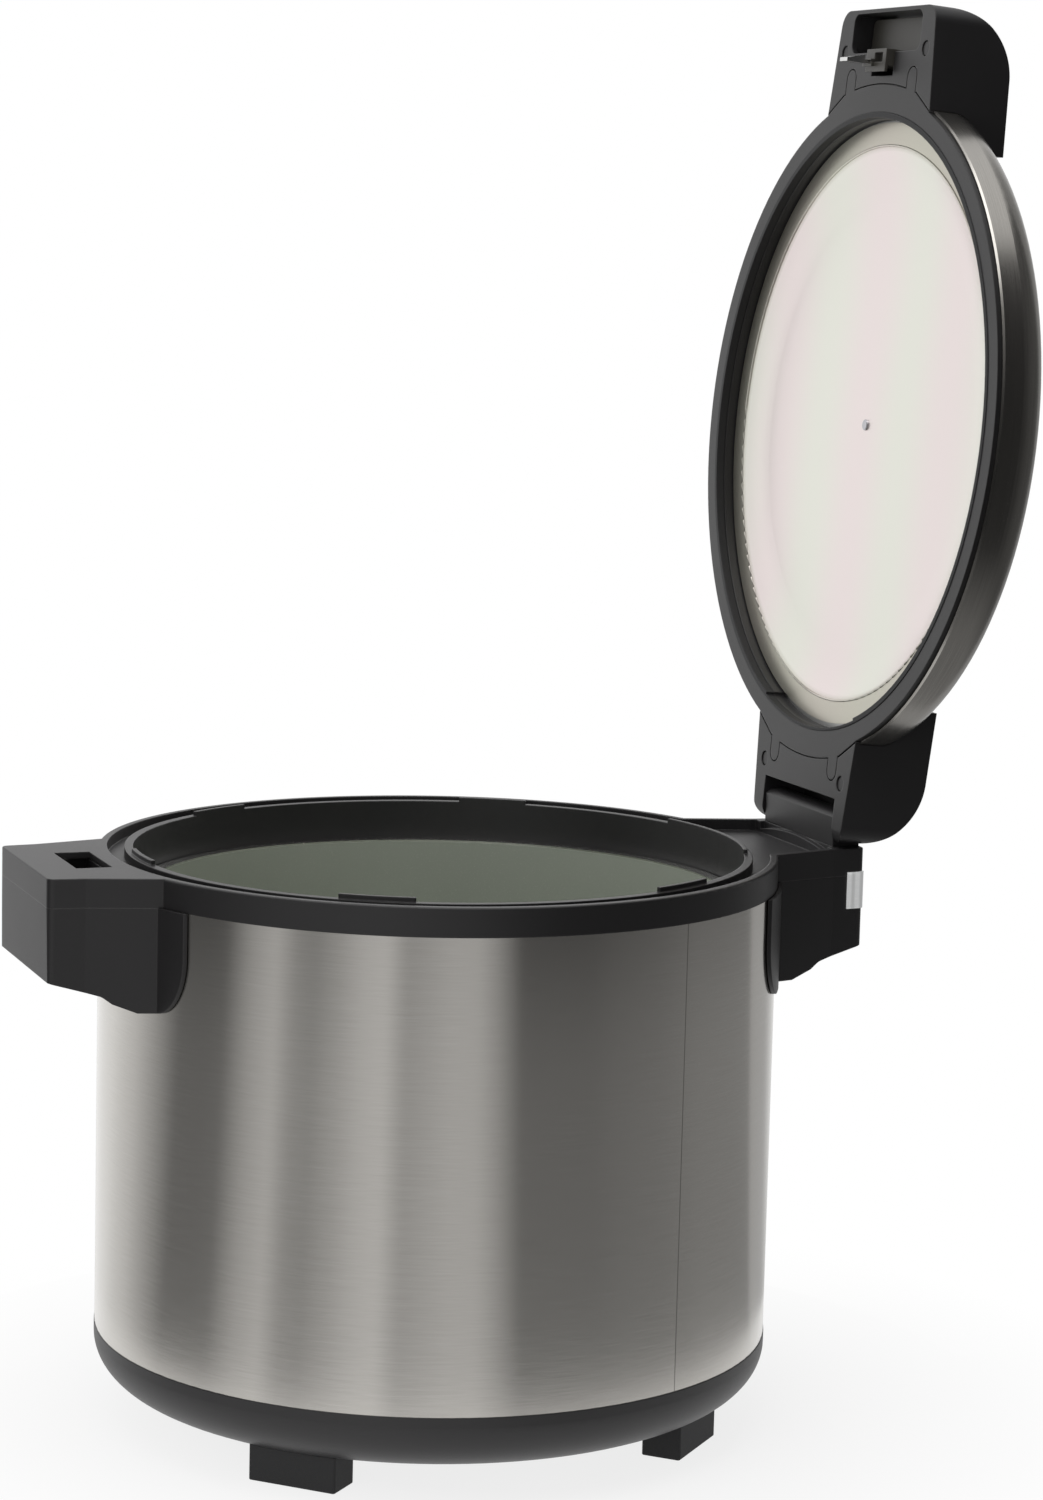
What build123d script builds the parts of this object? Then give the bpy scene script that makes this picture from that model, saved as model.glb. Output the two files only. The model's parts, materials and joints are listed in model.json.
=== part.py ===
from build123d import *
import math
import os

# Rice warmer with a hinged lid, drawn in millimetres with +Z up and the lid open.
# The axis of the pot is x = 0, y = 0 while the pieces are made, the hinge is on the +X side,
# the latch on the -X side and the front faces -Y. Lid pieces are drawn closed and swung open.
# At the end everything shifts so that the origin lies on the floor under the middle of the object.

# Clearances and the one overrun of all cuts
seat_gap = 0.3
seam_gap = 0.3
running_gap = 0.05
swing_gap = 0.8
overrun = 40.0
lid_open_angle = 95.05
quarter_turn = 90.0
full_turn = 360.0
half_share = 0.5

# Body shell
body_radius = 180.0
shell_sheet = 0.8
shell_height = 241.6

# Base pan
pan_underside = 17.0
pan_corner_reach = 34.0
pan_corner_drop = 27.0
pan_side_height = 5.6
pan_overhang = 0.3
pan_wall = 3.0
pan_upstand_height = 8.0
pan_upstand_wall = 2.9
boss_height = 12.0
boss_wall = 4.0
vent_count = 8
vent_length = 46.0
vent_width = 5.0
vent_radius_share = 0.45

# Feet
foot_inset = 22.3
foot_depth = 21.6
foot_half_width = 24.6
foot_edge_radius = 1.5
foot_screw_recess = 8.0
foot_angles = (45.0, 135.0, 225.0, 315.0)

# Screws: radius of the shank, radius and height of the head
screw_radius = 2.0
screw_head_radius = 3.8
screw_head_height = 2.4
screw_recess_gap = 0.5

# Ring on top of the shell
ring_height = 14.9
ring_rim_width = 4.3
ring_edge_radius = 1.2
ring_ledge_drop = 6.1
ring_plate = 3.0
ring_bore_wall = 2.7
ring_bore_depth = 17.5

# Ears, which are part of the ring
ear_reach = 44.9
ear_tip_half_width = 52.2
ear_bend_half_width = 54.0
ear_bend_inset = 18.9
ear_root_half_width = 64.5
ear_root_inset = 16.0
ear_corner_radius = 4.0
ear_wall = 3.5

# Tray in the top of the hinge ear, open towards the pot, with an arched sill before the tower
tray_sill_inset = 18.9
tray_sill_rise = 4.3

# Grips under the ears, each drawn with its lowest point at the body
grip_drop = 53.9
grip_tip_drop = 38.2
grip_tip_inset = 0.4
grip_knee_drop = 45.5
grip_knee_inset = 27.0
grip_shelf_drop = 49.5
grip_shelf_inset = 32.5
grip_foot_inset = 39.5
grip_edge_radius = 8.0
grip_arch_rise = 8.7
recess_wall = 4.6
recess_half_width = 44.0
recess_inboard_inset = 34.9
recess_corner_radius = 5.5
recess_depth = 40.0
flange_sheet = 2.2
flange_corner_width = 20.0
flange_corner_height = 31.0
latch_flange_angle = 26.6
hinge_flange_angle = 37.5
grip_screw_inset = 20.0
grip_screw_offset = 36.0

# Sleeve with castle teeth around the pot
sleeve_inset = 18.0
sleeve_wall = 2.6
sleeve_lip_width = 4.5
sleeve_lip_height = 5.5
tooth_height = 2.4
tooth_wall = 2.2
tooth_half_angle = 6.8
wide_tooth_half_angle = 19.0
tooth_angles = (60.0, 120.0, 180.0, 240.0, 300.0)

# Liner, heater and insulation
liner_gap = 3.5
liner_sheet = 1.0
liner_corner = 6.0
liner_floor_height = 72.0
post_radius = 5.0
post_inset = 28.5
post_angles = (30.0, 150.0, 270.0)
plate_margin = 7.5
plate_thickness = 12.0
element_inset = 28.0
element_radius = 4.0
element_groove_depth = 9.0
element_open_angle = 30.0
element_leg_drop = 14.0
side_heater_sheet = 1.6
side_heater_height = 90.0
side_heater_lift = 38.0
wrap_thickness = 12.0
wrap_foot_lift = 22.0
wrap_head_gap = 9.0
thermostat_radius = 8.0
thermostat_height = 9.0
fuse_radius = 3.0
fuse_length = 20.0
fuse_offset = 34.0
terminal_length = 44.0
terminal_width = 18.0
terminal_height = 16.0
terminal_inset = 62.0

# Bushing for the mains lead, at the rear and low in the shell
bushing_height = 67.6
bushing_bore_radius = 3.8
bushing_neck_radius = 6.5
bushing_flange_radius = 9.0
bushing_flange_proud = 1.6
bushing_depth = 9.0

# Pot
pot_gap = 3.0
pot_wall = 1.5
pot_corner = 30.0
pot_rim_gap = 0.6

# Hinge
hinge_inset = 8.5
hinge_rise = 9.35
hinge_pin_radius = 3.0
pin_grip_length = 8.5
tower_half_length = 44.7
tower_inset = 15.9
tower_back_inset = 0.4
tower_head_radius = 10.0
tower_screw_offset = 28.0
tower_screw_inset = 10.0

# Pilot lamp in the near corner of the hinge ear
lens_depth = 10.5
lens_wrap = 7.2
lens_proud = 0.8
lens_drop = 17.8
lens_overlap = 2.1
lamp_radius = 2.5
lamp_length = 10.0

# Latch slot in the latch ear and its strike bar
slot_inboard_inset = 40.4
slot_outboard_inset = 21.4
slot_half_width = 24.0
slot_depth = 24.6
slot_plate = 4.0
slot_side_room = 6.0
strike_thickness = 2.0
strike_width = 9.6
strike_drop = 7.1
strike_bite = 1.5

# Lid ring and seal
lid_gap = 0.4
lid_ring_inset = 2.2
lid_face_width = 10.0
seal_width = 3.2
lid_bore_height = 11.5
lid_ring_height = 6.3
lid_shelf_width = 6.8
seal_height = 4.5
seal_proud = 0.3
notch_depth = 1.6
notch_half_angle = 20.0
fork_plate_thickness = 2.0
fork_plate_reach = 4.7
fork_plate_half_width = 44.0
fork_root_half_width = 62.0
fork_tab_half_width = 5.3
fork_tab_centre = 37.5
fork_tab_length = 13.2
fork_groove = 0.7

# Dome of the lid
dome_overhang = 1.6
dome_sheet = 0.8
dome_hem_lift = 2.3
dome_hem_tuck = 0.5
dome_hem_height = 1.2
dome_wall_height = 14.4
dome_shoulder_width = 29.3
dome_shoulder_height = 20.0
dome_shoulder_end_angle = 70.0

# Caps at both ends of the lid
cap_tip_inset = 1.5
cap_root_inset = 10.4
cap_root_half_width = 62.6
cap_bend_inset = 5.4
cap_bend_half_width = 57.3
cap_plan_corner = 10.0
cap_end_corner = 34.7
cap_end_height = 11.0
cap_top_fall = 0.7
cap_top_run = 40.4
cap_wall = 3.0
cap_plug_radius = 3.8
cap_plug_gap = 0.4
cap_plug_recess = 0.6
cap_plug_thickness = 2.0
cap_screw_recess = 5.0
cap_screw_offset = 49.5
latch_plug_inset = 22.9
hinge_plug_inset = 31.9
bracket_lift = 11.5
bracket_sheet = 1.5
bracket_half_width = 4.0
hinge_pocket_inset = 23.0
hinge_pocket_height = 24.5
pin_boss_radius = 7.5

# Latch
latch_pivot_inset = 23.4
latch_pivot_lift = 18.5
latch_pin_radius = 2.0
latch_boss_radius = 5.0
latch_pocket_half_width = 42.0
latch_pocket_inset = 23.5
latch_pocket_end_wall = 2.1
button_end_gap = 1.7
button_lift = 11.5
button_corner_radius = 5.0
rib_length = 12.0
frame_half_width = 12.0
frame_thickness = 9.0
frame_outboard_inset = 22.4
frame_drop = 4.5
frame_lip_length = 3.1
frame_lip_thickness = 1.7
frame_slot_gap = 1.2
frame_slot_width = 12.8
window_offset = -3.0
window_half_width = 5.0
window_length = 5.0
window_depth = 4.0
hook_offset = 6.6
hook_half_width = 4.6
hook_block_margin = 1.0
hook_block_drop = 6.5
hook_sheet = 2.0
hook_inset = 28.7
hook_drop = 20.5
hook_nose = 2.4
hook_nose_height = 10.4
hook_nose_tip = 1.0
spring_wire = 1.2
spring_length = 10.0
spring_offset = 26.0

# Inner pan, its backing plate and the insulation of the lid
lid_pan_gap = 1.2
lid_pan_sheet = 0.8
lid_pan_lift = 9.75
lid_pan_flange = 12.5
lid_pan_rise = 5.0
lid_pan_slope = 26.0
bead_radius = 0.7
backing_inset = 3.4
backing_sheet = 1.2
backing_rise = 8.0
backing_slope = 5.0
backing_seat = 13.0
lid_wrap_inset = 27.4
lid_wrap_low_height = 6.0
lid_wrap_high_inset = 61.4
lid_wrap_high_height = 16.0
pan_screw_head_radius = 3.0
pan_screw_head_height = 1.1
pan_boss_radius = 6.0

# Places that follow from the sizes above
pan_radius = body_radius + pan_overhang
pan_corner_height = pan_underside + pan_corner_drop
pan_top = pan_corner_height + pan_side_height
pan_floor = pan_underside + pan_wall
shell_inner_radius = body_radius - shell_sheet
ring_bottom = pan_top + shell_height
ring_top = ring_bottom + ring_height
ring_rim_inner_radius = body_radius - ring_rim_width
ring_ledge = ring_top - ring_ledge_drop
ring_bore_bottom = ring_ledge - ring_bore_depth
sleeve_bore_radius = body_radius - sleeve_inset
ring_bore_radius = sleeve_bore_radius + sleeve_wall + seat_gap
liner_radius = sleeve_bore_radius - liner_gap
liner_flange_radius = ring_bore_radius + ring_bore_wall + seat_gap
pot_radius = liner_radius - pot_gap
pot_rim_radius = sleeve_bore_radius - pot_rim_gap
plate_radius = pot_radius - pot_corner - plate_margin
element_circle_radius = plate_radius - element_inset
post_circle_radius = liner_radius - post_inset
foot_outer_radius = body_radius - foot_inset
terminal_offset = body_radius - terminal_inset
skirt_radius = shell_inner_radius - seat_gap
ear_tip = body_radius + ear_reach
hinge_x = ear_tip - hinge_inset
hinge_z = ring_top + hinge_rise
pot_floor = liner_floor_height + liner_sheet + plate_thickness + seat_gap
lid_face = ring_top + lid_gap
cap_tip = ear_tip - cap_tip_inset
arm_end_radius = hinge_rise - lid_gap
cap_edge_height = lid_face + cap_end_height
lid_ring_radius = body_radius - lid_ring_inset
lid_face_inner_radius = lid_ring_radius - lid_face_width
lid_bore_radius = lid_face_inner_radius - seal_width
lid_shelf_radius = lid_ring_radius - lid_shelf_width
dome_radius = lid_ring_radius + dome_overhang
fork_plate_radius = lid_ring_radius + fork_plate_reach
fork_tab_reach = lid_ring_radius + fork_tab_length
lid_pan_radius = lid_bore_radius - lid_pan_gap
backing_radius = dome_radius - backing_inset
lid_wrap_radius = dome_radius - lid_wrap_inset
lid_wrap_high_radius = dome_radius - lid_wrap_high_inset
fork_plate_top = lid_face + fork_plate_thickness
dome_hem = lid_face + dome_hem_lift
dome_shoulder = lid_face + dome_wall_height
latch_pivot_x = cap_tip - latch_pivot_inset
latch_pivot_z = lid_face + latch_pivot_lift
backing_low = lid_face + lid_bore_height
backing_high = backing_low + backing_rise
pan_low = lid_face + lid_pan_lift
pan_high = pan_low + lid_pan_rise


def turned(points):
    """A solid of revolution about the pot axis, from (radius, height) corners."""
    outline = Polyline(*points, close=True)
    return revolve(Plane.XZ * make_face(outline.edges()), Axis.Z)


def bowl(radius, bottom, corner_reach, corner_drop, top):
    """A filled bowl with a flat bottom and a rounded lower corner."""
    corner_height = bottom + corner_drop
    corner_start = radius - corner_reach
    straight = Polyline((corner_start, bottom), (0, bottom), (0, top), (radius, top), (radius, corner_height))
    centre = (corner_start, corner_height)
    corner = EllipticalCenterArc(centre, corner_reach, corner_drop, -quarter_turn, arc_size=quarter_turn)
    outline = straight.edges() + corner.edges()
    return revolve(Plane.XZ * make_face(outline), Axis.Z)


def block(low, high):
    """A box from its lowest to its highest corner."""
    size = [b - a for a, b in zip(low, high)]
    middle = [half_share * (a + b) for a, b in zip(low, high)]
    return Pos(*middle) * Box(*size)


def post(place, radius, height):
    """An upright cylinder that stands on its place."""
    return Pos(*place) * Cylinder(radius, height, align=(Align.CENTER, Align.CENTER, Align.MIN))


def rod(x, z, radius, start, end):
    """A cylinder along Y from start to end."""
    middle = half_share * (start + end)
    return Pos(x, middle, z) * Rot(quarter_turn, 0, 0) * Cylinder(radius, end - start)


def tube(radius, wall, bottom, top):
    """A round tube about the pot axis."""
    outer = post((0, 0, bottom), radius, top - bottom)
    inner = post((0, 0, bottom - overrun), radius - wall, top - bottom + overrun + overrun)
    return outer - inner


def side_profile(points, half_width):
    """An outline in X and Z, as thick as twice its half width."""
    face = Plane.XZ * make_face(Polyline(*points, close=True).edges())
    return extrude(face, amount=half_width, both=True)


def wedge(angle, half_angle, radius, bottom, top):
    """A sector of a disc, used to cut a ring into stretches."""
    spread = math.radians(half_angle)
    reach = radius / math.cos(spread)
    side = reach * math.sin(spread)
    corners = [(0, 0), (radius, -side), (radius, side)]
    face = make_face(Polyline(*corners, close=True).edges())
    return Rot(0, 0, angle) * Pos(0, 0, bottom) * extrude(face, amount=top - bottom)


def both_sides(place):
    """The same height and radius at +Y and at -Y."""
    x, y, z = place
    return [(x, y, z), (x, -y, z)]


def screw(place, length):
    """A screw driven upwards: its head is at the place, its shank above."""
    x, y, z = place
    head = post(place, screw_head_radius, screw_head_height)
    shank = post((x, y, z), screw_radius, length)
    drive_radius = half_share * screw_head_radius
    drive = RegularPolygon(drive_radius, 6)
    drive_depth = half_share * screw_head_height
    return head + shank - Pos(x, y, z) * extrude(drive, amount=drive_depth)


def latch_side(shape):
    """A shape that is drawn on the hinge side, mirrored to the latch side."""
    return mirror(shape, about=Plane.YZ)


def in_one_node(solids):
    """Several equal fasteners that share a node as separate solids."""
    return Compound([s.solid() for s in solids])


# Base and feet


def pan_outside():
    return bowl(pan_radius, pan_underside, pan_corner_reach, pan_corner_drop, pan_top)


def foot_place(angle):
    radius = foot_outer_radius - half_share * foot_depth
    turn = math.radians(angle)
    return radius * math.cos(turn), radius * math.sin(turn)


def make_base_pan():
    inside_radius = pan_radius - pan_wall
    inside_reach = pan_corner_reach - pan_wall
    inside_drop = pan_corner_drop - pan_wall
    inside = bowl(inside_radius, pan_floor, inside_reach, inside_drop, pan_top)
    upstand_top = pan_top + pan_upstand_height
    upstand = tube(skirt_radius, pan_upstand_wall, pan_corner_height, upstand_top)
    pan = pan_outside() - inside + upstand
    for angle in foot_angles:
        x, y = foot_place(angle)
        pan += post((x, y, pan_floor - seat_gap), screw_radius + boss_wall, boss_height)
    for angle in foot_angles:
        x, y = foot_place(angle)
        pan -= post((x, y, 0), screw_radius, pan_floor + boss_height)
    for angle in post_angles:
        turn = math.radians(angle)
        x = post_circle_radius * math.cos(turn)
        y = post_circle_radius * math.sin(turn)
        pan -= post((x, y, 0), screw_radius, pan_floor + overrun)
    for number in range(vent_count):
        angle = (number + half_share) * full_turn / vent_count
        slot = SlotOverall(vent_length, vent_width)
        cut = extrude(slot, amount=pan_floor + overrun)
        pan -= Rot(0, 0, angle) * Pos(vent_radius_share * pan_radius, 0, 0) * cut
    return pan


def make_feet():
    feet = []
    inner = foot_outer_radius - foot_depth
    for angle in foot_angles:
        foot = block((inner, -foot_half_width, 0), (foot_outer_radius, foot_half_width, pan_corner_height))
        foot = fillet(foot.edges().filter_by(Axis.Z), foot_edge_radius)
        foot = fillet(foot.faces().sort_by(Axis.Z)[0].edges(), half_share * foot_edge_radius)
        middle = half_share * (inner + foot_outer_radius)
        recess_radius = screw_head_radius + screw_recess_gap
        foot -= post((middle, 0, -overrun), recess_radius, foot_screw_recess + overrun)
        foot -= post((middle, 0, 0), screw_radius, pan_corner_height)
        foot = Rot(0, 0, angle) * foot - pan_outside()
        feet.append(foot)
    return in_one_node(feet)


def make_foot_screws():
    screws = []
    for angle in foot_angles:
        x, y = foot_place(angle)
        head_base = foot_screw_recess - screw_head_height
        screws.append(screw((x, y, head_base), pan_floor + half_share * boss_height - head_base))
    return in_one_node(screws)


# Shell and cord bushing


def make_outer_shell():
    shell = tube(body_radius, shell_sheet, pan_top, ring_bottom)
    hole_start = half_share * body_radius
    return shell - rod(0, bushing_height, bushing_neck_radius, hole_start, body_radius + overrun)


def make_cord_bushing():
    inner_end = body_radius - bushing_depth
    outer_end = body_radius + bushing_flange_proud
    neck = rod(0, bushing_height, bushing_neck_radius, inner_end, outer_end)
    lip = rod(0, bushing_height, bushing_flange_radius, body_radius, outer_end)
    inner_lip_end = inner_end + half_share * bushing_depth
    inner_lip = rod(0, bushing_height, bushing_flange_radius, inner_end, inner_lip_end)
    bore = rod(0, bushing_height, bushing_bore_radius, inner_end - overrun, outer_end + overrun)
    return neck + lip + inner_lip - bore


# Ring with its ears


def ear_plan(grow):
    """Outline of an ear seen from above, grown by a margin, as a face at zero height."""
    tip = ear_tip + grow
    bend = tip - ear_bend_inset
    root = body_radius - ear_root_inset
    points = [
        (root, -ear_root_half_width - grow),
        (bend, -ear_bend_half_width - grow),
        (tip, -ear_tip_half_width - grow),
        (tip, ear_tip_half_width + grow),
        (bend, ear_bend_half_width + grow),
        (root, ear_root_half_width + grow),
    ]
    face = make_face(Polyline(*points, close=True).edges())
    corners = face.vertices().group_by(Axis.X)[-1]
    return fillet(corners, ear_corner_radius + grow)


def ear_block(grow, bottom, top):
    return Pos(0, 0, bottom) * extrude(ear_plan(grow), amount=top - bottom)


def core(radius, bottom, top):
    return post((0, 0, bottom), radius, top - bottom)


def ear_screw_places(height):
    x = ear_tip - grip_screw_inset
    return both_sides((x, grip_screw_offset, height))


def tower_screw_places(height):
    return both_sides((ear_tip - tower_screw_inset, tower_screw_offset, height))


def ear_slab(bosses):
    """An ear of the ring: a plate with walls hanging from it, and bosses for the screws."""
    slab = ear_block(0, ring_bottom, ring_top)
    top_edges = slab.faces().sort_by(Axis.Z)[-1].edges().sort_by(Axis.X)[1:]
    slab = fillet(top_edges, half_share * ring_edge_radius)
    hollow = ear_block(-ear_wall, ring_bottom - overrun, ring_top - ear_wall)
    hollow -= core(body_radius + ear_wall, ring_bottom - overrun, ring_top)
    for place in bosses:
        hollow -= post(place, screw_radius + boss_wall, ring_height)
    return slab - hollow - core(ring_rim_inner_radius, ring_bottom - overrun, ring_top + overrun)


def tray_block(end, bottom, top):
    """The room inside the walls of the hinge ear, as far out as the given end."""
    inner_half = block((0, -ear_root_half_width, bottom), (end, ear_root_half_width, top))
    return ear_block(-ear_wall, bottom, top) & inner_half


def tray_sill_cut():
    """What is cut away above the arched top of the sill."""
    low = (ear_tip - tray_sill_inset, -tower_half_length, ring_ledge)
    high = (ear_tip - tower_inset, tower_half_length, ring_top + overrun)
    chord_square = tower_half_length * tower_half_length
    arch_radius = (chord_square + tray_sill_rise * tray_sill_rise) / (tray_sill_rise + tray_sill_rise)
    arch = Cylinder(arch_radius, tower_inset + tray_sill_inset)
    return block(low, high) - Pos(high[0], 0, ring_top - arch_radius) * Rot(0, quarter_turn, 0) * arch


def slot_block(grow, bottom, top):
    low = (-ear_tip + slot_outboard_inset - grow, -slot_half_width - grow, bottom)
    high = (-ear_tip + slot_inboard_inset + grow, slot_half_width + grow, top)
    return block(low, high)


def slot_room(grow):
    """The wider room under the edge of the slot, as deep as the slot."""
    half_width = slot_half_width + slot_side_room + grow
    low = (-ear_tip + slot_outboard_inset - grow, -half_width, ring_top - slot_depth)
    high = (-ear_tip + slot_inboard_inset + grow, half_width, ring_top - slot_plate)
    return block(low, high)


def strike_block():
    inboard = -ear_tip + slot_outboard_inset - strike_bite + strike_width
    half_length = slot_half_width + slot_side_room + strike_bite
    top = ring_top - strike_drop
    low = (inboard - strike_width, -half_length, top - strike_thickness)
    return block(low, (inboard, half_length, top))


def lens_block():
    """The lens fills the outline of the ear, a little proud of it, at the near outer corner."""
    bottom = ring_bottom - lens_drop
    top = ring_bottom + lens_overlap
    body = ear_block(lens_proud, bottom, top)
    inner_x = ear_tip - lens_depth
    inner_y = -ear_tip_half_width + lens_wrap
    window = block((inner_x, -ear_root_half_width, bottom), (ear_tip + overrun, inner_y, top))
    return body & window


def make_top_ring():
    bore_wall_radius = ring_bore_radius + ring_bore_wall
    skirt_inner_radius = skirt_radius - pan_upstand_wall
    skirt_bottom = ring_bottom - pan_upstand_height
    plate_bottom = ring_ledge - ring_plate
    ring = turned([
        (ring_bore_radius, ring_bore_bottom),
        (bore_wall_radius, ring_bore_bottom),
        (bore_wall_radius, plate_bottom),
        (skirt_inner_radius, plate_bottom),
        (skirt_inner_radius, skirt_bottom),
        (skirt_radius, skirt_bottom),
        (skirt_radius, ring_bottom),
        (body_radius, ring_bottom),
        (body_radius, ring_top),
        (ring_rim_inner_radius, ring_top),
        (ring_rim_inner_radius, ring_ledge),
        (ring_bore_radius, ring_ledge),
    ])
    rim = ring.faces().sort_by(Axis.Z)[-1].edges().sort_by(SortBy.LENGTH)[-1]
    ring = fillet(rim, ring_edge_radius)
    latch_slab = latch_side(ear_slab(ear_screw_places(ring_bottom)))
    latch_slab += slot_room(ear_wall) & slot_block(ear_reach, ring_bottom, ring_top)
    hinge_slab = ear_slab(ear_screw_places(ring_bottom) + tower_screw_places(ring_bottom))
    hinge_slab += tray_block(ear_tip - tower_inset + ring_plate, plate_bottom, ring_top)
    hinge_slab -= core(ring_rim_inner_radius, plate_bottom, ring_top)
    ring = ring + latch_slab + hinge_slab
    ring -= tray_block(ear_tip - tray_sill_inset, ring_ledge, ring_top + overrun)
    ring -= tray_sill_cut()
    ring -= slot_block(0, ring_bottom - overrun, ring_top + overrun)
    ring -= slot_room(0)
    ring -= strike_block()
    ring -= lens_block()
    for x, y, z in ear_screw_places(ring_bottom - overrun):
        ring -= post((x, y, z), screw_radius, overrun + half_share * ring_height)
        ring -= post((-x, y, z), screw_radius, overrun + half_share * ring_height)
    for place in tower_screw_places(ring_bottom - overrun):
        ring -= post(place, screw_radius, ring_height + overrun + overrun)
    return ring


def make_latch_strike():
    return strike_block()


def make_pot_seat_ring():
    wall_radius = sleeve_bore_radius + sleeve_wall
    lip_radius = sleeve_bore_radius + sleeve_lip_width
    lip_top = ring_ledge + sleeve_lip_height
    tooth_radius = sleeve_bore_radius + tooth_wall
    sleeve = turned([
        (sleeve_bore_radius, ring_bore_bottom),
        (wall_radius, ring_bore_bottom),
        (wall_radius, ring_ledge),
        (lip_radius, ring_ledge),
        (lip_radius, lip_top),
        (sleeve_bore_radius, lip_top),
    ])
    crown = tube(tooth_radius, tooth_wall, lip_top, lip_top + tooth_height)
    stretches = [(angle, tooth_half_angle) for angle in tooth_angles]
    stretches.append((0, wide_tooth_half_angle))
    for angle, half_angle in stretches:
        sleeve += crown & wedge(angle, half_angle, body_radius, lip_top, lip_top + tooth_height)
    return sleeve


# Grips


def flange(angle):
    """The thin skirt of a grip that hugs the shell, with rounded lower corners."""
    outer_radius = body_radius + flange_sheet
    half_width = outer_radius * math.sin(math.radians(angle))
    bottom = ring_bottom - grip_drop
    corner_top = bottom + flange_corner_height
    corner_start = half_width - flange_corner_width
    lines = Polyline(
        (half_width, corner_top),
        (half_width, ring_bottom),
        (-half_width, ring_bottom),
        (-half_width, corner_top),
    )
    foot = Line((-corner_start, bottom), (corner_start, bottom))
    centre = (corner_start, corner_top)
    width = flange_corner_width
    right = EllipticalCenterArc(centre, width, flange_corner_height, -quarter_turn, arc_size=quarter_turn)
    left = mirror(right, about=Plane.YZ)
    outline = lines.edges() + foot.edges() + right.edges() + left.edges()
    sheet = Plane.YZ * extrude(make_face(outline), amount=ear_tip)
    band = tube(outer_radius, flange_sheet - seat_gap, bottom - overrun, ring_bottom + overrun)
    return sheet & band


def make_grip(angle):
    tip = ear_tip
    bottom = ring_bottom - grip_drop
    profile = [
        (half_share * tip, ring_bottom),
        (tip, ring_bottom),
        (tip - grip_tip_inset, ring_bottom - grip_tip_drop),
        (tip - grip_knee_inset, ring_bottom - grip_knee_drop),
        (tip - grip_shelf_inset, ring_bottom - grip_shelf_drop),
        (tip - grip_foot_inset, bottom),
        (half_share * tip, bottom),
    ]
    solid = side_profile(profile, ear_root_half_width + overrun)
    lower_edges = solid.edges().filter_by(Axis.Y).group_by(Axis.X)
    solid = fillet(lower_edges[1] + lower_edges[2] + lower_edges[3], grip_edge_radius)
    grip = ear_block(0, bottom, ring_bottom) & solid
    inner_radius = body_radius + seat_gap
    grip -= core(inner_radius, bottom - overrun, ring_bottom + overrun)
    grip += flange(angle)
    chord = ear_tip_half_width
    arch_radius = (chord * chord + grip_arch_rise * grip_arch_rise) / (grip_arch_rise + grip_arch_rise)
    slope = math.atan2(grip_knee_drop - grip_tip_drop, grip_knee_inset - grip_tip_inset)
    arch_centre = ring_bottom - grip_tip_drop + grip_arch_rise - arch_radius / math.cos(slope)
    arch_turn = Rot(0, quarter_turn - math.degrees(slope), 0)
    arch = Pos(tip, 0, arch_centre) * arch_turn * Cylinder(arch_radius, grip_knee_inset + grip_knee_inset)
    recess_ceiling = ring_bottom - grip_drop + recess_depth
    recess_low = (tip - recess_inboard_inset, -recess_half_width, bottom - overrun)
    recess = block(recess_low, (tip - recess_wall, recess_half_width, recess_ceiling))
    recess = fillet(recess.edges().filter_by(Axis.Z), recess_corner_radius)
    grip = grip - arch - recess
    head_seat = recess_ceiling + half_share * screw_head_height
    for x, y, z in ear_screw_places(head_seat):
        grip -= post((x, y, z - overrun), screw_head_radius + screw_recess_gap, overrun)
        grip -= post((x, y, z), screw_radius, ring_bottom - z)
    return grip


def make_grip_latch_side():
    grip = latch_side(make_grip(latch_flange_angle))
    return grip - slot_room(0)


def make_grip_hinge_side():
    grip = make_grip(hinge_flange_angle) - lens_block() - lamp_block(seat_gap)
    head_seat = ring_bottom - grip_drop + recess_depth + half_share * screw_head_height
    for x, y, z in tower_screw_places(head_seat):
        grip -= post((x, y, z - overrun), screw_head_radius + screw_recess_gap, overrun)
        grip -= post((x, y, z), screw_radius, ring_bottom - z)
    return grip


def make_grip_screws():
    head_seat = ring_bottom - grip_drop + recess_depth + half_share * screw_head_height
    head_base = head_seat - screw_head_height
    length = ring_bottom + half_share * ring_height - head_base
    screws = []
    for x, y, z in ear_screw_places(head_base):
        screws.append(screw((x, y, z), length))
        screws.append(screw((-x, y, z), length))
    return in_one_node(screws)


# Pilot lamp


def lamp_block(grow):
    inner_x = ear_tip - lens_depth
    y = -ear_tip_half_width + lens_wrap - lamp_radius - seam_gap
    z = ring_bottom - half_share * (lens_drop - lens_overlap)
    length = lamp_length + grow
    place = Pos(inner_x - half_share * length, y, z)
    return place * Rot(0, quarter_turn, 0) * Cylinder(lamp_radius + grow, length)


def make_pilot_lens():
    return lens_block()


def make_pilot_lamp():
    return lamp_block(0)


# Hinge on the ear


def tower_screw_top():
    return hinge_z - hinge_pin_radius - half_share * screw_head_height


def make_hinge_tower():
    front = ear_tip - tower_inset
    back = ear_tip - tower_back_inset
    body = block((front, -tower_half_length, ring_top), (back, tower_half_length, hinge_z))
    head = rod(hinge_x, hinge_z, tower_head_radius, -tower_half_length, tower_half_length)
    head &= block((front, -tower_half_length, ring_top), (back, tower_half_length, hinge_z + overrun))
    tower = body + head
    tower -= rod(hinge_x, hinge_z, hinge_pin_radius, -ear_tip, ear_tip)
    for x, y, z in tower_screw_places(ring_top - overrun):
        tower -= post((x, y, z), screw_radius, tower_screw_top() - z)
    return tower


def make_tower_screws():
    head_base = ring_bottom - grip_drop + recess_depth - half_share * screw_head_height
    places = tower_screw_places(head_base)
    return in_one_node([screw(place, tower_screw_top() - head_base) for place in places])


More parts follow.
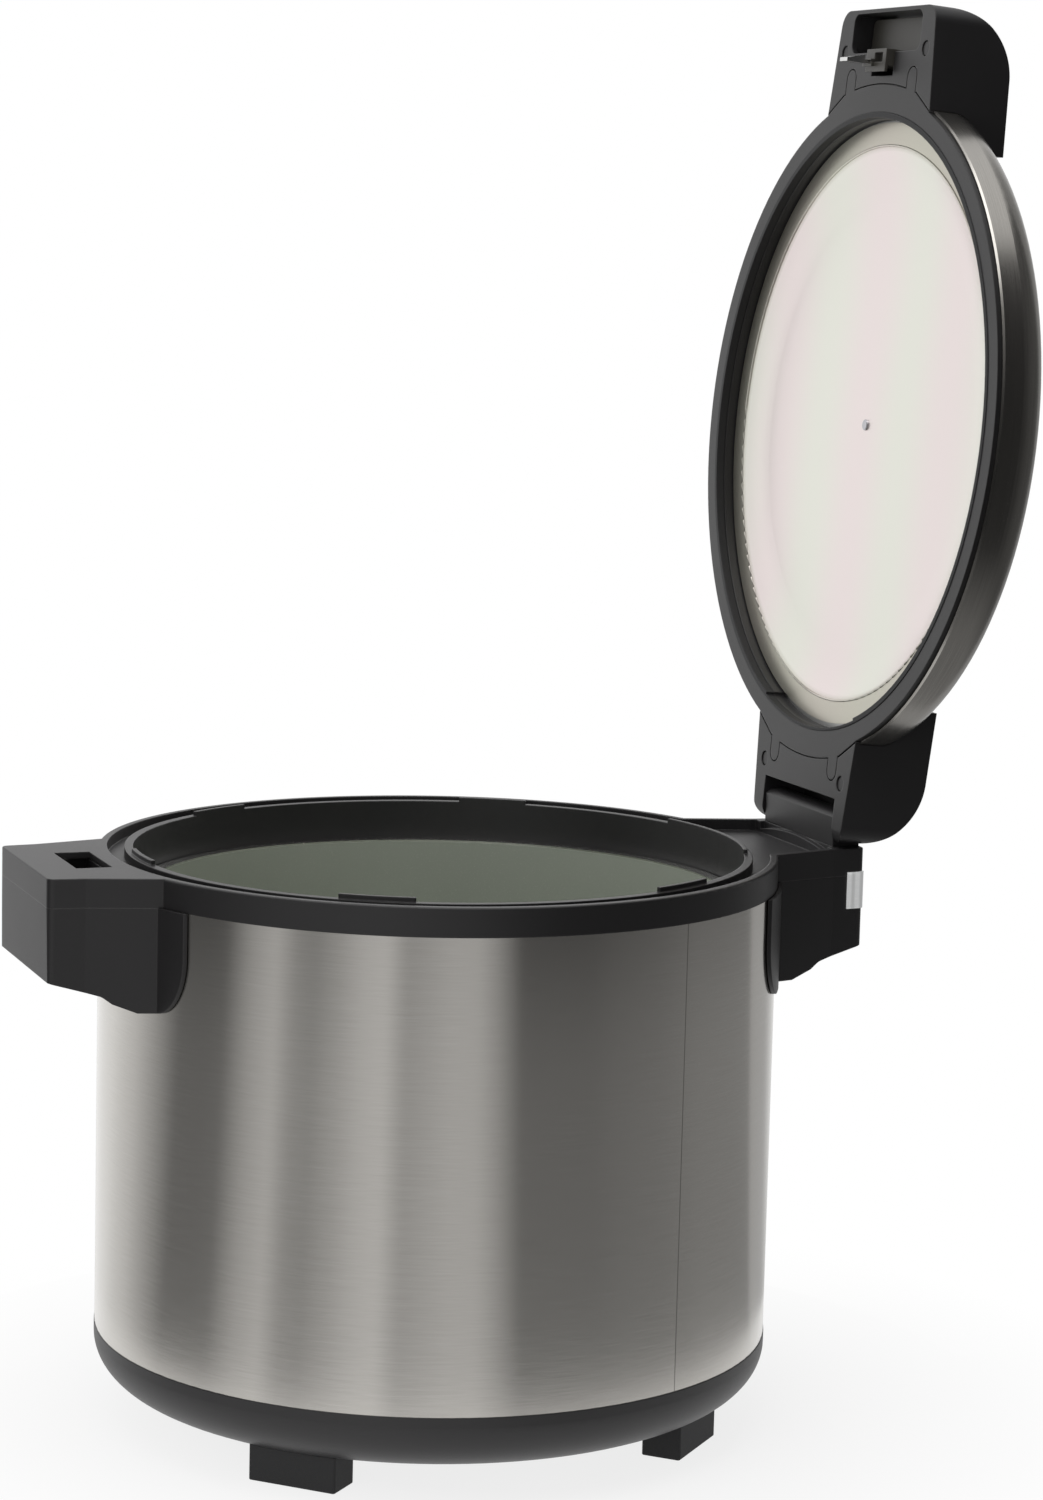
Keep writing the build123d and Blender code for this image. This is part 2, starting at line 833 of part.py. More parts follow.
def make_hinge_pin():
    half_length = tower_half_length + swing_gap + pin_grip_length
    return rod(hinge_x, hinge_z, hinge_pin_radius, -half_length, half_length)


# Liner, heater and insulation


def make_inner_liner():
    top = ring_bore_bottom
    outside = bowl(liner_radius, liner_floor_height, liner_corner, liner_corner, top)
    inside_corner = liner_corner - liner_sheet
    inside_floor = liner_floor_height + liner_sheet
    inside = bowl(liner_radius - liner_sheet, inside_floor, inside_corner, inside_corner, top + overrun)
    rim_width = liner_flange_radius - liner_radius + liner_sheet
    rim = tube(liner_flange_radius, rim_width, top - liner_sheet, top)
    liner = outside + rim - inside
    for x, y in element_leg_places():
        hole_radius = element_radius + screw_recess_gap
        liner -= post((x, y, liner_floor_height - overrun), hole_radius, overrun + overrun)
    return liner


def make_liner_posts():
    posts = []
    for angle in post_angles:
        turn = math.radians(angle)
        x = post_circle_radius * math.cos(turn)
        y = post_circle_radius * math.sin(turn)
        posts.append(post((x, y, pan_floor), post_radius, liner_floor_height - pan_floor))
    return in_one_node(posts)


def element_leg_places():
    places = []
    for side in (-1, 1):
        turn = math.radians(quarter_turn + side * half_share * element_open_angle)
        places.append((element_circle_radius * math.cos(turn), element_circle_radius * math.sin(turn)))
    return places


def make_heater_plate():
    bottom = liner_floor_height + liner_sheet
    plate = core(plate_radius, bottom, bottom + plate_thickness)
    inner = element_circle_radius - element_radius
    outer = element_circle_radius + element_radius
    groove = tube(outer, outer - inner, bottom - overrun, bottom + element_groove_depth)
    return plate - groove


def make_heating_element():
    centre_height = liner_floor_height + liner_sheet + element_radius + seat_gap
    place = Pos(element_circle_radius, 0, centre_height) * Rot(quarter_turn, 0, 0)
    section = place * Circle(element_radius)
    ring = revolve(section, Axis.Z, full_turn - element_open_angle)
    ring = Rot(0, 0, quarter_turn + half_share * element_open_angle) * ring
    leg_bottom = liner_floor_height - element_leg_drop
    for x, y in element_leg_places():
        ring += post((x, y, leg_bottom), element_radius, centre_height - leg_bottom)
    return ring


def make_side_heater():
    bottom = liner_floor_height + side_heater_lift
    radius = liner_radius + seat_gap + side_heater_sheet
    return tube(radius, side_heater_sheet, bottom, bottom + side_heater_height)


def make_insulation_wrap():
    inner = liner_radius + seat_gap + side_heater_sheet + seat_gap
    bottom = liner_floor_height + wrap_foot_lift
    return tube(inner + wrap_thickness, wrap_thickness, bottom, ring_bore_bottom - wrap_head_gap)


def make_thermostat():
    place = (0, 0, liner_floor_height - thermostat_height)
    body = post(place, thermostat_radius, thermostat_height)
    collar_height = half_share * thermostat_height
    collar_place = (0, 0, liner_floor_height - collar_height)
    return body + post(collar_place, thermostat_radius + boss_wall, half_share * collar_height)


def make_thermal_fuse():
    z = liner_floor_height - fuse_radius - liner_sheet
    fuse = rod(fuse_offset, z, fuse_radius, -half_share * fuse_length, half_share * fuse_length)
    clip_half = half_share * fuse_radius
    clip_low = (fuse_offset - fuse_length, -clip_half, liner_floor_height - liner_sheet)
    clip = block(clip_low, (fuse_offset + fuse_radius, clip_half, liner_floor_height))
    joint_low = (fuse_offset - clip_half, -clip_half, z)
    return fuse + clip + block(joint_low, (fuse_offset + clip_half, clip_half, liner_floor_height))


def make_terminal_block():
    low = (-half_share * terminal_length, terminal_offset, pan_floor)
    high = (half_share * terminal_length, terminal_offset + terminal_width, pan_floor + terminal_height)
    return block(low, high)


# Pot


def make_inner_pot():
    rim_bottom = ring_bore_bottom + seat_gap
    rim_top = rim_bottom + pot_wall
    outside = bowl(pot_radius, pot_floor, pot_corner, pot_corner, rim_bottom)
    inside_radius = pot_radius - pot_wall
    inside_corner = pot_corner - pot_wall
    inside = bowl(inside_radius, pot_floor + pot_wall, inside_corner, inside_corner, rim_top + overrun)
    rim = core(pot_rim_radius, rim_bottom, rim_top)
    rim = fillet(rim.faces().sort_by(Axis.Z)[-1].edges(), half_share * pot_wall)
    return outside + rim - inside


# Lid


def dome_body(inset):
    """The filled dome, made smaller by an inset: wall, rounded shoulder and shallow crown."""
    width = dome_shoulder_width - inset
    height = dome_shoulder_height - inset
    centre = dome_radius - dome_shoulder_width
    bend = math.radians(dome_shoulder_end_angle)
    crown_edge = centre + width * math.cos(bend)
    crown_base = dome_shoulder + height * math.sin(bend)
    slope = math.atan2(height * math.cos(bend), width * math.sin(bend))
    crown_radius = crown_edge / math.sin(slope)
    apex = crown_base + crown_radius * (1 - math.cos(slope))
    half_slope = half_share * slope
    middle = (crown_radius * math.sin(half_slope), apex - crown_radius * (1 - math.cos(half_slope)))
    hem_top = dome_hem + dome_hem_height
    wall = Polyline(
        (0, apex),
        (0, dome_hem),
        (centre + width - dome_hem_tuck, dome_hem),
        (centre + width, hem_top),
        (centre + width, dome_shoulder),
    )
    place = (centre, dome_shoulder)
    shoulder = EllipticalCenterArc(place, width, height, 0, arc_size=dome_shoulder_end_angle)
    crown = ThreePointArc((crown_edge, crown_base), middle, (0, apex))
    outline = wall.edges() + shoulder.edges() + crown.edges()
    return revolve(Plane.XZ * make_face(outline), Axis.Z)


def make_lid_dome():
    hem_radius = dome_radius - dome_sheet - dome_hem_tuck
    hollow = dome_body(dome_sheet) + core(hem_radius, dome_hem - overrun, dome_hem + dome_hem_height)
    return dome_body(0) - hollow


def fork_plan(grow):
    """Outline of the plate that ties a cap to the lid ring: an arc, two tabs and slanted ends."""
    root = half_share * body_radius
    shoulder_y = fork_plate_half_width + grow
    shoulder_x = math.sqrt(fork_plate_radius ** 2 - fork_plate_half_width ** 2) + grow
    end_x = math.sqrt((lid_ring_radius + seam_gap) ** 2 - fork_root_half_width ** 2) + grow
    end_y = fork_root_half_width + grow
    points = [(root, -end_y), (end_x, -end_y), (shoulder_x, -shoulder_y)]
    points += [(x, -y) for x, y in reversed(points)]
    plan = make_face(Polyline(*points, close=True).edges())
    span = Rectangle(body_radius, shoulder_y + shoulder_y)
    plan += Circle(fork_plate_radius + grow) & Pos(body_radius, 0) * span
    for side in (-1, 1):
        tab_end = fork_tab_reach - fork_tab_half_width
        tab_length = tab_end - root
        tab_width = fork_tab_half_width + grow
        centre_y = side * fork_tab_centre
        plan += Pos(half_share * (root + tab_end), centre_y) * Rectangle(tab_length, tab_width + tab_width)
        plan += Pos(tab_end, centre_y) * Circle(tab_width)
    return plan


def fork_plate(grow, top):
    plate = Pos(0, 0, lid_face) * extrude(fork_plan(grow), amount=top - lid_face)
    return plate - core(lid_face_inner_radius, lid_face - overrun, top + overrun)


def notch_block():
    """The cut-back beside the hinge that clears the wide tooth of the sleeve."""
    top = lid_face + lid_bore_height + overrun
    sector = wedge(0, notch_half_angle, lid_bore_radius + notch_depth, lid_face - overrun, top)
    return sector & core(lid_bore_radius + notch_depth, lid_face - overrun, top)


def make_lid_ring():
    upper_radius = dome_radius - dome_sheet - dome_hem_tuck - seam_gap
    step = dome_hem - seam_gap
    ring_top_height = lid_face + lid_ring_height
    seal_top = lid_face + seal_height
    ring = turned([
        (lid_face_inner_radius, lid_face),
        (lid_ring_radius, lid_face),
        (lid_ring_radius, step),
        (upper_radius, step),
        (upper_radius, ring_top_height),
        (lid_shelf_radius, ring_top_height),
        (lid_shelf_radius, backing_low),
        (lid_bore_radius, backing_low),
        (lid_bore_radius, seal_top),
        (lid_face_inner_radius, seal_top),
    ])
    plate = fork_plate(0, fork_plate_top)
    return ring + plate + latch_side(plate) - notch_block()


def make_lid_seal():
    wall = seal_width - seam_gap
    seal = tube(lid_face_inner_radius, wall, lid_face - seal_proud, lid_face + seal_height)
    return seal - notch_block()


def cap_block(inset):
    """The outside of a cap, or of the hollow in it when an inset is given."""
    bottom = lid_face + inset
    tip = cap_tip - inset
    corner = cap_end_corner - inset
    corner_x = cap_tip - cap_end_corner
    corner_top = cap_edge_height + corner
    root = corner_x - cap_top_run
    bend = corner * math.sqrt(half_share)
    lines = Polyline(
        (corner_x, corner_top),
        (root, corner_top - cap_top_fall),
        (root, bottom),
        (tip, bottom),
        (tip, cap_edge_height),
    )
    middle = (corner_x + bend, cap_edge_height + bend)
    arc = ThreePointArc((tip, cap_edge_height), middle, (corner_x, corner_top))
    face = Plane.XZ * make_face(lines.edges() + arc.edges())
    solid = extrude(face, amount=ear_tip, both=True)
    plan = cap_plan(inset)
    return solid & Pos(0, 0, bottom - overrun) * extrude(plan, amount=corner_top + overrun)


def cap_plan(inset):
    tip = cap_tip - inset
    bend = cap_tip - cap_bend_inset
    root = body_radius - cap_root_inset
    slope = (cap_root_half_width - cap_bend_half_width) / (bend - root)
    inner = cap_tip - cap_end_corner - cap_top_run
    inner_half_width = cap_bend_half_width + slope * (bend - inner) - inset
    tip_half_width = cap_bend_half_width - slope * cap_bend_inset - inset
    points = [
        (inner, -inner_half_width),
        (tip, -tip_half_width),
        (tip, tip_half_width),
        (inner, inner_half_width),
    ]
    face = make_face(Polyline(*points, close=True).edges())
    corners = face.vertices().group_by(Axis.X)[-1]
    return fillet(corners, cap_plan_corner - half_share * inset)


def lid_core():
    """What lies inside the caps: the dome and, below its hem, the lid ring."""
    return dome_body(0) + core(lid_ring_radius + seam_gap, lid_face - overrun, dome_hem)


def plug_places(inset, height):
    return both_sides((cap_tip - inset, cap_screw_offset, height))


def make_cap(plug_inset, filling, pocket):
    """A hollow cap with its inner walls and bosses, cut by its pocket and its screw holes."""
    outside = cap_block(0)
    inside = cap_block(cap_wall)
    hole_radius = cap_plug_radius + cap_plug_gap
    for place in plug_places(plug_inset, lid_face):
        inside -= post(place, hole_radius + half_share * cap_wall, bracket_lift)
    cap = outside - (inside - filling)
    for x, y, z in plug_places(plug_inset, lid_face):
        cap -= post((x, y, z - overrun), hole_radius, cap_screw_recess + overrun)
        cap -= post((x, y, z), screw_radius, bracket_lift + overrun - cap_screw_recess)
    return cap - pocket - lid_core() - fork_plate(fork_groove, fork_plate_top + seam_gap)


def hinge_pocket(grow):
    half_width = tower_half_length + swing_gap + grow
    low = (cap_tip - hinge_pocket_inset - grow, -half_width, lid_face - overrun)
    return block(low, (cap_tip + overrun, half_width, lid_face + hinge_pocket_height + grow))


def make_hinge_cap():
    half_width = tower_half_length + swing_gap
    arm_width = cap_bend_half_width - half_width
    filling = hinge_pocket(cap_wall)
    filling += rod(hinge_x, hinge_z, pin_boss_radius, -half_width - arm_width, half_width + arm_width)
    pin_reach = half_width + pin_grip_length + swing_gap
    bore = rod(hinge_x, hinge_z, hinge_pin_radius + running_gap, -pin_reach, pin_reach)
    cap = make_cap(hinge_plug_inset, filling, hinge_pocket(0) + bore)
    round_end = block((hinge_x, -ear_tip, lid_face - overrun), (cap_tip + overrun, ear_tip, hinge_z))
    round_end -= rod(hinge_x, hinge_z, arm_end_radius, -ear_tip - overrun, ear_tip + overrun)
    return cap - round_end


def latch_pocket():
    low_x = -cap_tip + latch_pocket_end_wall
    high_x = -cap_tip + latch_pocket_inset
    half_width = latch_pocket_half_width
    pocket = block((low_x, -half_width, lid_face - overrun), (high_x, half_width, lid_face + cap_tip))
    return fillet(pocket.edges().filter_by(Axis.Z), button_corner_radius)


def make_latch_cap():
    outer = latch_pocket_half_width + cap_wall
    inner_x = -cap_tip + latch_pocket_inset + rib_length
    filling = block((-cap_tip, -outer, lid_face), (inner_x, outer, lid_face + cap_tip))
    inside_width = latch_pocket_half_width
    filling -= block((-cap_tip, -inside_width, lid_face), (inner_x, inside_width, lid_face + cap_tip))
    slot_low_x = -cap_tip + latch_pocket_inset - overrun
    slot_half = frame_half_width + frame_slot_gap
    slot_high_x = -cap_tip + latch_pocket_inset + frame_slot_width
    slot_top = lid_face + cap_wall + cap_wall
    cut = block((slot_low_x, -slot_half, lid_face - overrun), (slot_high_x, slot_half, slot_top))
    cut_low_x = -cap_tip + latch_pocket_inset - button_corner_radius
    cut &= block((cut_low_x, -slot_half, lid_face - overrun), (slot_high_x, slot_half, slot_top))
    cut += latch_pocket()
    cut += rod(-latch_pivot_x, latch_pivot_z, latch_pin_radius, -outer, outer)
    cap = make_cap(latch_plug_inset, latch_side(filling), latch_side(cut))
    return latch_side(cap)


def make_cap_brackets():
    """Steel tabs welded to the dome, which the cap screws bite into."""
    low_z = lid_face + bracket_lift
    tabs = []
    for direction, inset in ((1, hinge_plug_inset), (-1, latch_plug_inset)):
        reach = cap_tip - inset + screw_radius + screw_radius
        for side in (-1, 1):
            near = side * cap_screw_offset - bracket_half_width
            far = side * cap_screw_offset + bracket_half_width
            tab = block((half_share * body_radius, near, low_z), (reach, far, low_z + bracket_sheet))
            tab -= dome_body(0)
            tab -= post((cap_tip - inset, side * cap_screw_offset, low_z - overrun), screw_radius, cap_tip)
            if direction < 0:
                tab = latch_side(tab)
            tabs.append(tab)
    return in_one_node(tabs)


def make_cap_screws():
    screws = []
    for direction, inset in ((1, hinge_plug_inset), (-1, latch_plug_inset)):
        head_base = lid_face + cap_screw_recess - screw_head_height
        for x, y, z in plug_places(inset, head_base):
            length = bracket_lift + bracket_sheet + screw_head_height
            screws.append(screw((direction * x, y, z), length))
    return in_one_node(screws)


def make_cap_plugs():
    plugs = []
    for direction, inset in ((1, hinge_plug_inset), (-1, latch_plug_inset)):
        for x, y, z in plug_places(inset, lid_face + cap_plug_recess):
            plug = post((direction * x, y, z), cap_plug_radius, cap_plug_thickness)
            plugs.append(plug)
    return in_one_node(plugs)


def make_backing_plate():
    inner = lid_pan_radius - backing_seat * half_share
    top = backing_low + backing_sheet
    plate = turned([
        (0, backing_high),
        (inner - backing_slope, backing_high),
        (inner, backing_low),
        (backing_radius, backing_low),
        (backing_radius, top),
        (inner + half_share * backing_sheet, top),
        (inner - backing_slope + half_share * backing_sheet, backing_high + backing_sheet),
        (0, backing_high + backing_sheet),
    ])
    boss_bottom = pan_high + lid_pan_sheet
    plate += core(pan_boss_radius, boss_bottom, backing_high)
    return plate - core(screw_radius, boss_bottom - overrun, backing_high + overrun)


def make_lid_insulation():
    low = backing_high + backing_sheet
    hole = screw_radius + boss_wall
    return turned([
        (hole, low),
        (lid_wrap_radius, low),
        (lid_wrap_radius, low + lid_wrap_low_height),
        (lid_wrap_high_radius, low + lid_wrap_high_height),
        (hole, low + lid_wrap_high_height),
    ])


def make_lid_pan():
    """The dished inner lid: a flat flange, a crease with a fine bead, an arc upwards and a flat middle."""
    bead_circle = lid_pan_radius - lid_pan_flange
    inner = bead_circle - lid_pan_slope
    arc_radius = (lid_pan_slope ** 2 + lid_pan_rise ** 2) / (lid_pan_rise + lid_pan_rise)
    half_bend = half_share * math.asin(lid_pan_slope / arc_radius)
    middle_x = inner + arc_radius * math.sin(half_bend)
    middle_drop = arc_radius * (1 - math.cos(half_bend))
    outline = Polyline(
        (inner, pan_high),
        (screw_radius, pan_high),
        (screw_radius, pan_high + lid_pan_sheet),
        (inner, pan_high + lid_pan_sheet),
    ).edges()
    outline += Polyline(
        (bead_circle, pan_low + lid_pan_sheet),
        (lid_pan_radius, pan_low + lid_pan_sheet),
        (lid_pan_radius, pan_low),
        (bead_circle, pan_low),
    ).edges()
    for lift in (0, lid_pan_sheet):
        middle = (middle_x, pan_high - middle_drop + lift)
        outline += ThreePointArc((inner, pan_high + lift), middle, (bead_circle, pan_low + lift)).edges()
    pan = revolve(Plane.XZ * make_face(outline), Axis.Z)
    bead = Pos(0, 0, pan_low) * Torus(bead_circle, bead_radius)
    lower = core(body_radius, pan_low - overrun, pan_low + half_share * lid_pan_sheet)
    return pan + (bead & lower)


def make_pan_screw():
    head = core(pan_screw_head_radius, pan_high - pan_screw_head_height, pan_high)
    head = fillet(head.faces().sort_by(Axis.Z)[0].edges(), half_share * pan_screw_head_height)
    shank = core(screw_radius, pan_high - half_share * pan_screw_head_height, backing_high + backing_sheet)
    return head + shank


# Latch, drawn with the lid closed


def make_latch_pin():
    half_length = latch_pocket_half_width + cap_wall
    return rod(-latch_pivot_x, latch_pivot_z, latch_pin_radius, -half_length, half_length)


def hook_plate_block():
    outboard = -cap_tip + hook_inset
    low = (outboard, hook_offset - hook_half_width, lid_face - hook_drop)
    high_z = latch_pivot_z - latch_boss_radius - running_gap
    return block(low, (outboard + hook_sheet, hook_offset + hook_half_width, high_z))


def make_latch_hook():
    plate = hook_plate_block()
    outboard = -cap_tip + hook_inset
    bottom = lid_face - hook_drop
    nose = side_profile([
        (outboard + hook_sheet, bottom),
        (outboard, bottom),
        (outboard - hook_nose, bottom + hook_nose_height - hook_nose_tip),
        (outboard - hook_nose, bottom + hook_nose_height),
        (outboard, bottom + hook_nose_height),
        (outboard + hook_sheet, bottom + hook_nose_height),
    ], hook_half_width)
    return plate + Pos(0, hook_offset, 0) * nose


def make_latch_lever():
    half_width = latch_pocket_half_width - swing_gap
    button_low = (-cap_tip + latch_pocket_end_wall + button_end_gap, -half_width, lid_face + button_lift)
    button_high = (-cap_tip + latch_pocket_inset - swing_gap, half_width, lid_face + cap_tip)
    button = block(button_low, button_high)
    button = fillet(button.edges().filter_by(Axis.Z), button_corner_radius - swing_gap)
    button &= latch_side(cap_block(0))
    boss = rod(-latch_pivot_x, latch_pivot_z, latch_boss_radius, -half_width, half_width)
    frame_x = -cap_tip + frame_outboard_inset
    frame_low = (frame_x, -frame_half_width, lid_face - frame_drop)
    frame = block(frame_low, (frame_x + frame_thickness, frame_half_width, latch_pivot_z))
    lip_bottom = lid_face - frame_drop
    lip_end = frame_x + frame_thickness + frame_lip_length
    lip_low = (frame_x + frame_thickness, -frame_half_width, lip_bottom)
    frame += block(lip_low, (lip_end, frame_half_width, lip_bottom + frame_lip_thickness))
    hook_middle = -cap_tip + hook_inset + half_share * hook_sheet
    block_reach = half_share * hook_sheet + hook_block_margin
    block_half = hook_half_width + hook_block_margin
    block_low = (hook_middle - block_reach, hook_offset - block_half, lid_face - hook_block_drop)
    frame += block(block_low, (hook_middle + block_reach, hook_offset + block_half, lid_face))
    window_x = frame_x + half_share * (frame_thickness - window_length)
    window_end = window_x + window_length
    window_near = window_offset - window_half_width
    window_far = window_offset + window_half_width
    window_low = (window_x, window_near, lip_bottom - overrun)
    frame -= block(window_low, (window_end, window_far, lip_bottom + window_depth))
    lever = button + boss + frame - hook_plate_block()
    gap_radius = latch_pin_radius + running_gap
    lever -= rod(-latch_pivot_x, latch_pivot_z, gap_radius, -half_width - overrun, half_width + overrun)
    spring_room_radius = latch_boss_radius + swing_gap
    spring_end = spring_offset + spring_length + seam_gap
    return lever - rod(-latch_pivot_x, latch_pivot_z, spring_room_radius, spring_offset, spring_end)


def make_latch_spring():
    start = spring_offset + half_share * seam_gap
    inner = latch_pin_radius + running_gap
    end = start + spring_length
    coil = rod(-latch_pivot_x, latch_pivot_z, inner + spring_wire, start, end)
    return coil - rod(-latch_pivot_x, latch_pivot_z, inner, start - overrun, end + overrun)


# All the pieces: those of the lid swing open about the hinge

body_pieces = {
    "base_pan": make_base_pan,
    "feet": make_feet,
    "foot_screws": make_foot_screws,
    "outer_shell": make_outer_shell,
    "cord_bushing": make_cord_bushing,
    "top_ring": make_top_ring,
    "pot_seat_ring": make_pot_seat_ring,
    "grip_latch_side": make_grip_latch_side,
    "grip_hinge_side": make_grip_hinge_side,
    "grip_screws": make_grip_screws,
    "latch_strike": make_latch_strike,
    "pilot_lens": make_pilot_lens,
    "pilot_lamp": make_pilot_lamp,
    "hinge_tower": make_hinge_tower,
    "tower_screws": make_tower_screws,
    "hinge_pin": make_hinge_pin,
    "inner_liner": make_inner_liner,
    "liner_posts": make_liner_posts,
    "heater_plate": make_heater_plate,
    "heating_element": make_heating_element,
    "side_heater": make_side_heater,
    "insulation_wrap": make_insulation_wrap,
    "thermostat": make_thermostat,
    "thermal_fuse": make_thermal_fuse,
    "terminal_block": make_terminal_block,
    "inner_pot": make_inner_pot,
}

lid_pieces = {
    "lid_dome": make_lid_dome,
    "lid_ring": make_lid_ring,
    "lid_seal": make_lid_seal,
    "latch_cap": make_latch_cap,
    "hinge_cap": make_hinge_cap,
    "cap_brackets": make_cap_brackets,
    "cap_screws": make_cap_screws,
    "cap_plugs": make_cap_plugs,
    "lid_backing_plate": make_backing_plate,
    "lid_insulation": make_lid_insulation,
    "lid_pan": make_lid_pan,
    "pan_screw": make_pan_screw,
    "latch_pin": make_latch_pin,
    "latch_lever": make_latch_lever,
    "latch_hook": make_latch_hook,
    "latch_spring": make_latch_spring,
}

hinge_line = Axis((hinge_x, 0, hinge_z), (0, 1, 0))
made = {name: make() for name, make in body_pieces.items()}
for name, make in lid_pieces.items():
    made[name] = make().rotate(hinge_line, lid_open_angle)

low_x = min(shape.bounding_box().min.X for shape in made.values())
high_x = max(shape.bounding_box().max.X for shape in made.values())
low_y = min(shape.bounding_box().min.Y for shape in made.values())
high_y = max(shape.bounding_box().max.Y for shape in made.values())
shift = Pos(-half_share * (low_x + high_x), -half_share * (low_y + high_y), 0)

os.makedirs("parts", exist_ok=True)
for name, shape in made.items():
    export_step(shift * shape, f"parts/{name}.step")

print("pot axis after the shift:", shift.position)
print("overall length and height:", high_x - low_x, max(s.bounding_box().max.Z for s in made.values()))
print("hinge at", hinge_x, hinge_z, "latch pivot when closed", -latch_pivot_x, latch_pivot_z)
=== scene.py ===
# %% [markdown]
# A rice warmer is a steel drum with black moulded trim and a lid that folds back on a hinge.
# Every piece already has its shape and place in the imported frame. This lesson gives each piece
# the finish it has on the real object, adds the small parts that are easier in mesh code, and
# sets up a quiet studio. The frame comes first, because everything else is measured from it.

import json
import math

import bmesh
import bpy
from mathutils import Matrix, Vector


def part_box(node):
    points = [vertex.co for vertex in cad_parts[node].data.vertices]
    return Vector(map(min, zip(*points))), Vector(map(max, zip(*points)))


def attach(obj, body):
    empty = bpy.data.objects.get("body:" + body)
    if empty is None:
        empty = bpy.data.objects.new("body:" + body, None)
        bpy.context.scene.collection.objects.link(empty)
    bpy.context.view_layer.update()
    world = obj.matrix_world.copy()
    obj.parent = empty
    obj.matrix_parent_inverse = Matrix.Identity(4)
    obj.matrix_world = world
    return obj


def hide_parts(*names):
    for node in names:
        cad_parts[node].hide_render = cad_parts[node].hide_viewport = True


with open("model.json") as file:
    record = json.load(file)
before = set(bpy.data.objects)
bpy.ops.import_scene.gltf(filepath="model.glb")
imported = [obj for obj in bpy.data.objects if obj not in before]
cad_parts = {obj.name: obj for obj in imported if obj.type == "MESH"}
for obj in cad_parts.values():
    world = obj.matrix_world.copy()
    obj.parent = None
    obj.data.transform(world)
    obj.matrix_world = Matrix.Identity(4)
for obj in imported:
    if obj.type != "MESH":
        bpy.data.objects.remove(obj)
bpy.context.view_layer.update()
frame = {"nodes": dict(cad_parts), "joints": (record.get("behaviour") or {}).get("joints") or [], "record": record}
MM = 0.001
print("pieces from the frame:", len(frame["nodes"]))

# %% [markdown]
# The pot's axis is not the origin, because the grips and the open lid reach further to one side.
# The shell is a true cylinder, so its box gives the axis and the radius. The hinge comes from the
# joint, and so does the angle at which the lid rests open.

# %% Places read from the frame
shell_low, shell_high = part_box("outer_shell")
axis = (shell_low + shell_high) / 2
drum_radius = (shell_high.x - shell_low.x) / 2
lid_joint = next(joint for joint in frame["joints"] if joint["name"] == "lid_hinge")
hinge = Vector(lid_joint["pos_m"])
open_angle = math.radians(lid_joint["range_deg"][1])
print("drum radius", round(drum_radius, 4), "m, hinge at", [round(v, 4) for v in hinge])

# %% [markdown]
# Shader sums read best as sums. A Socket wraps one output of a node, and an operator on it adds
# the Math node that it stands for. The reflected forms let a plain number stand on the left, as
# in 1 - mask.

# %% Sockets that can be added and multiplied
class Socket:
    def __init__(self, finish, socket):
        self.finish = finish
        self.socket = socket

    def maths(self, operation, first, second):
        return self.finish.add("Math", {"operation": operation}, {0: first, 1: second})

    def __add__(self, other):
        return self.maths("ADD", self, other)

    def __radd__(self, other):
        return self.maths("ADD", other, self)

    def __sub__(self, other):
        return self.maths("SUBTRACT", self, other)

    def __rsub__(self, other):
        return self.maths("SUBTRACT", other, self)

    def __mul__(self, other):
        return self.maths("MULTIPLY", self, other)

    def __rmul__(self, other):
        return self.maths("MULTIPLY", other, self)


# %% [markdown]
# A Finish is a material in the making. Its one method adds any other node: the settings are put
# in first, because some of them change which sockets a node has, and then the sockets get their
# values or links. The short methods below it are the few combinations that the finishes share.
# A noise swings about 0.5 and seldom nears 0 or 1, so middle stretches its middle part, and
# sway turns it into a small amount more or less.

# %% A material in the making
NOISE_MEAN = 0.5


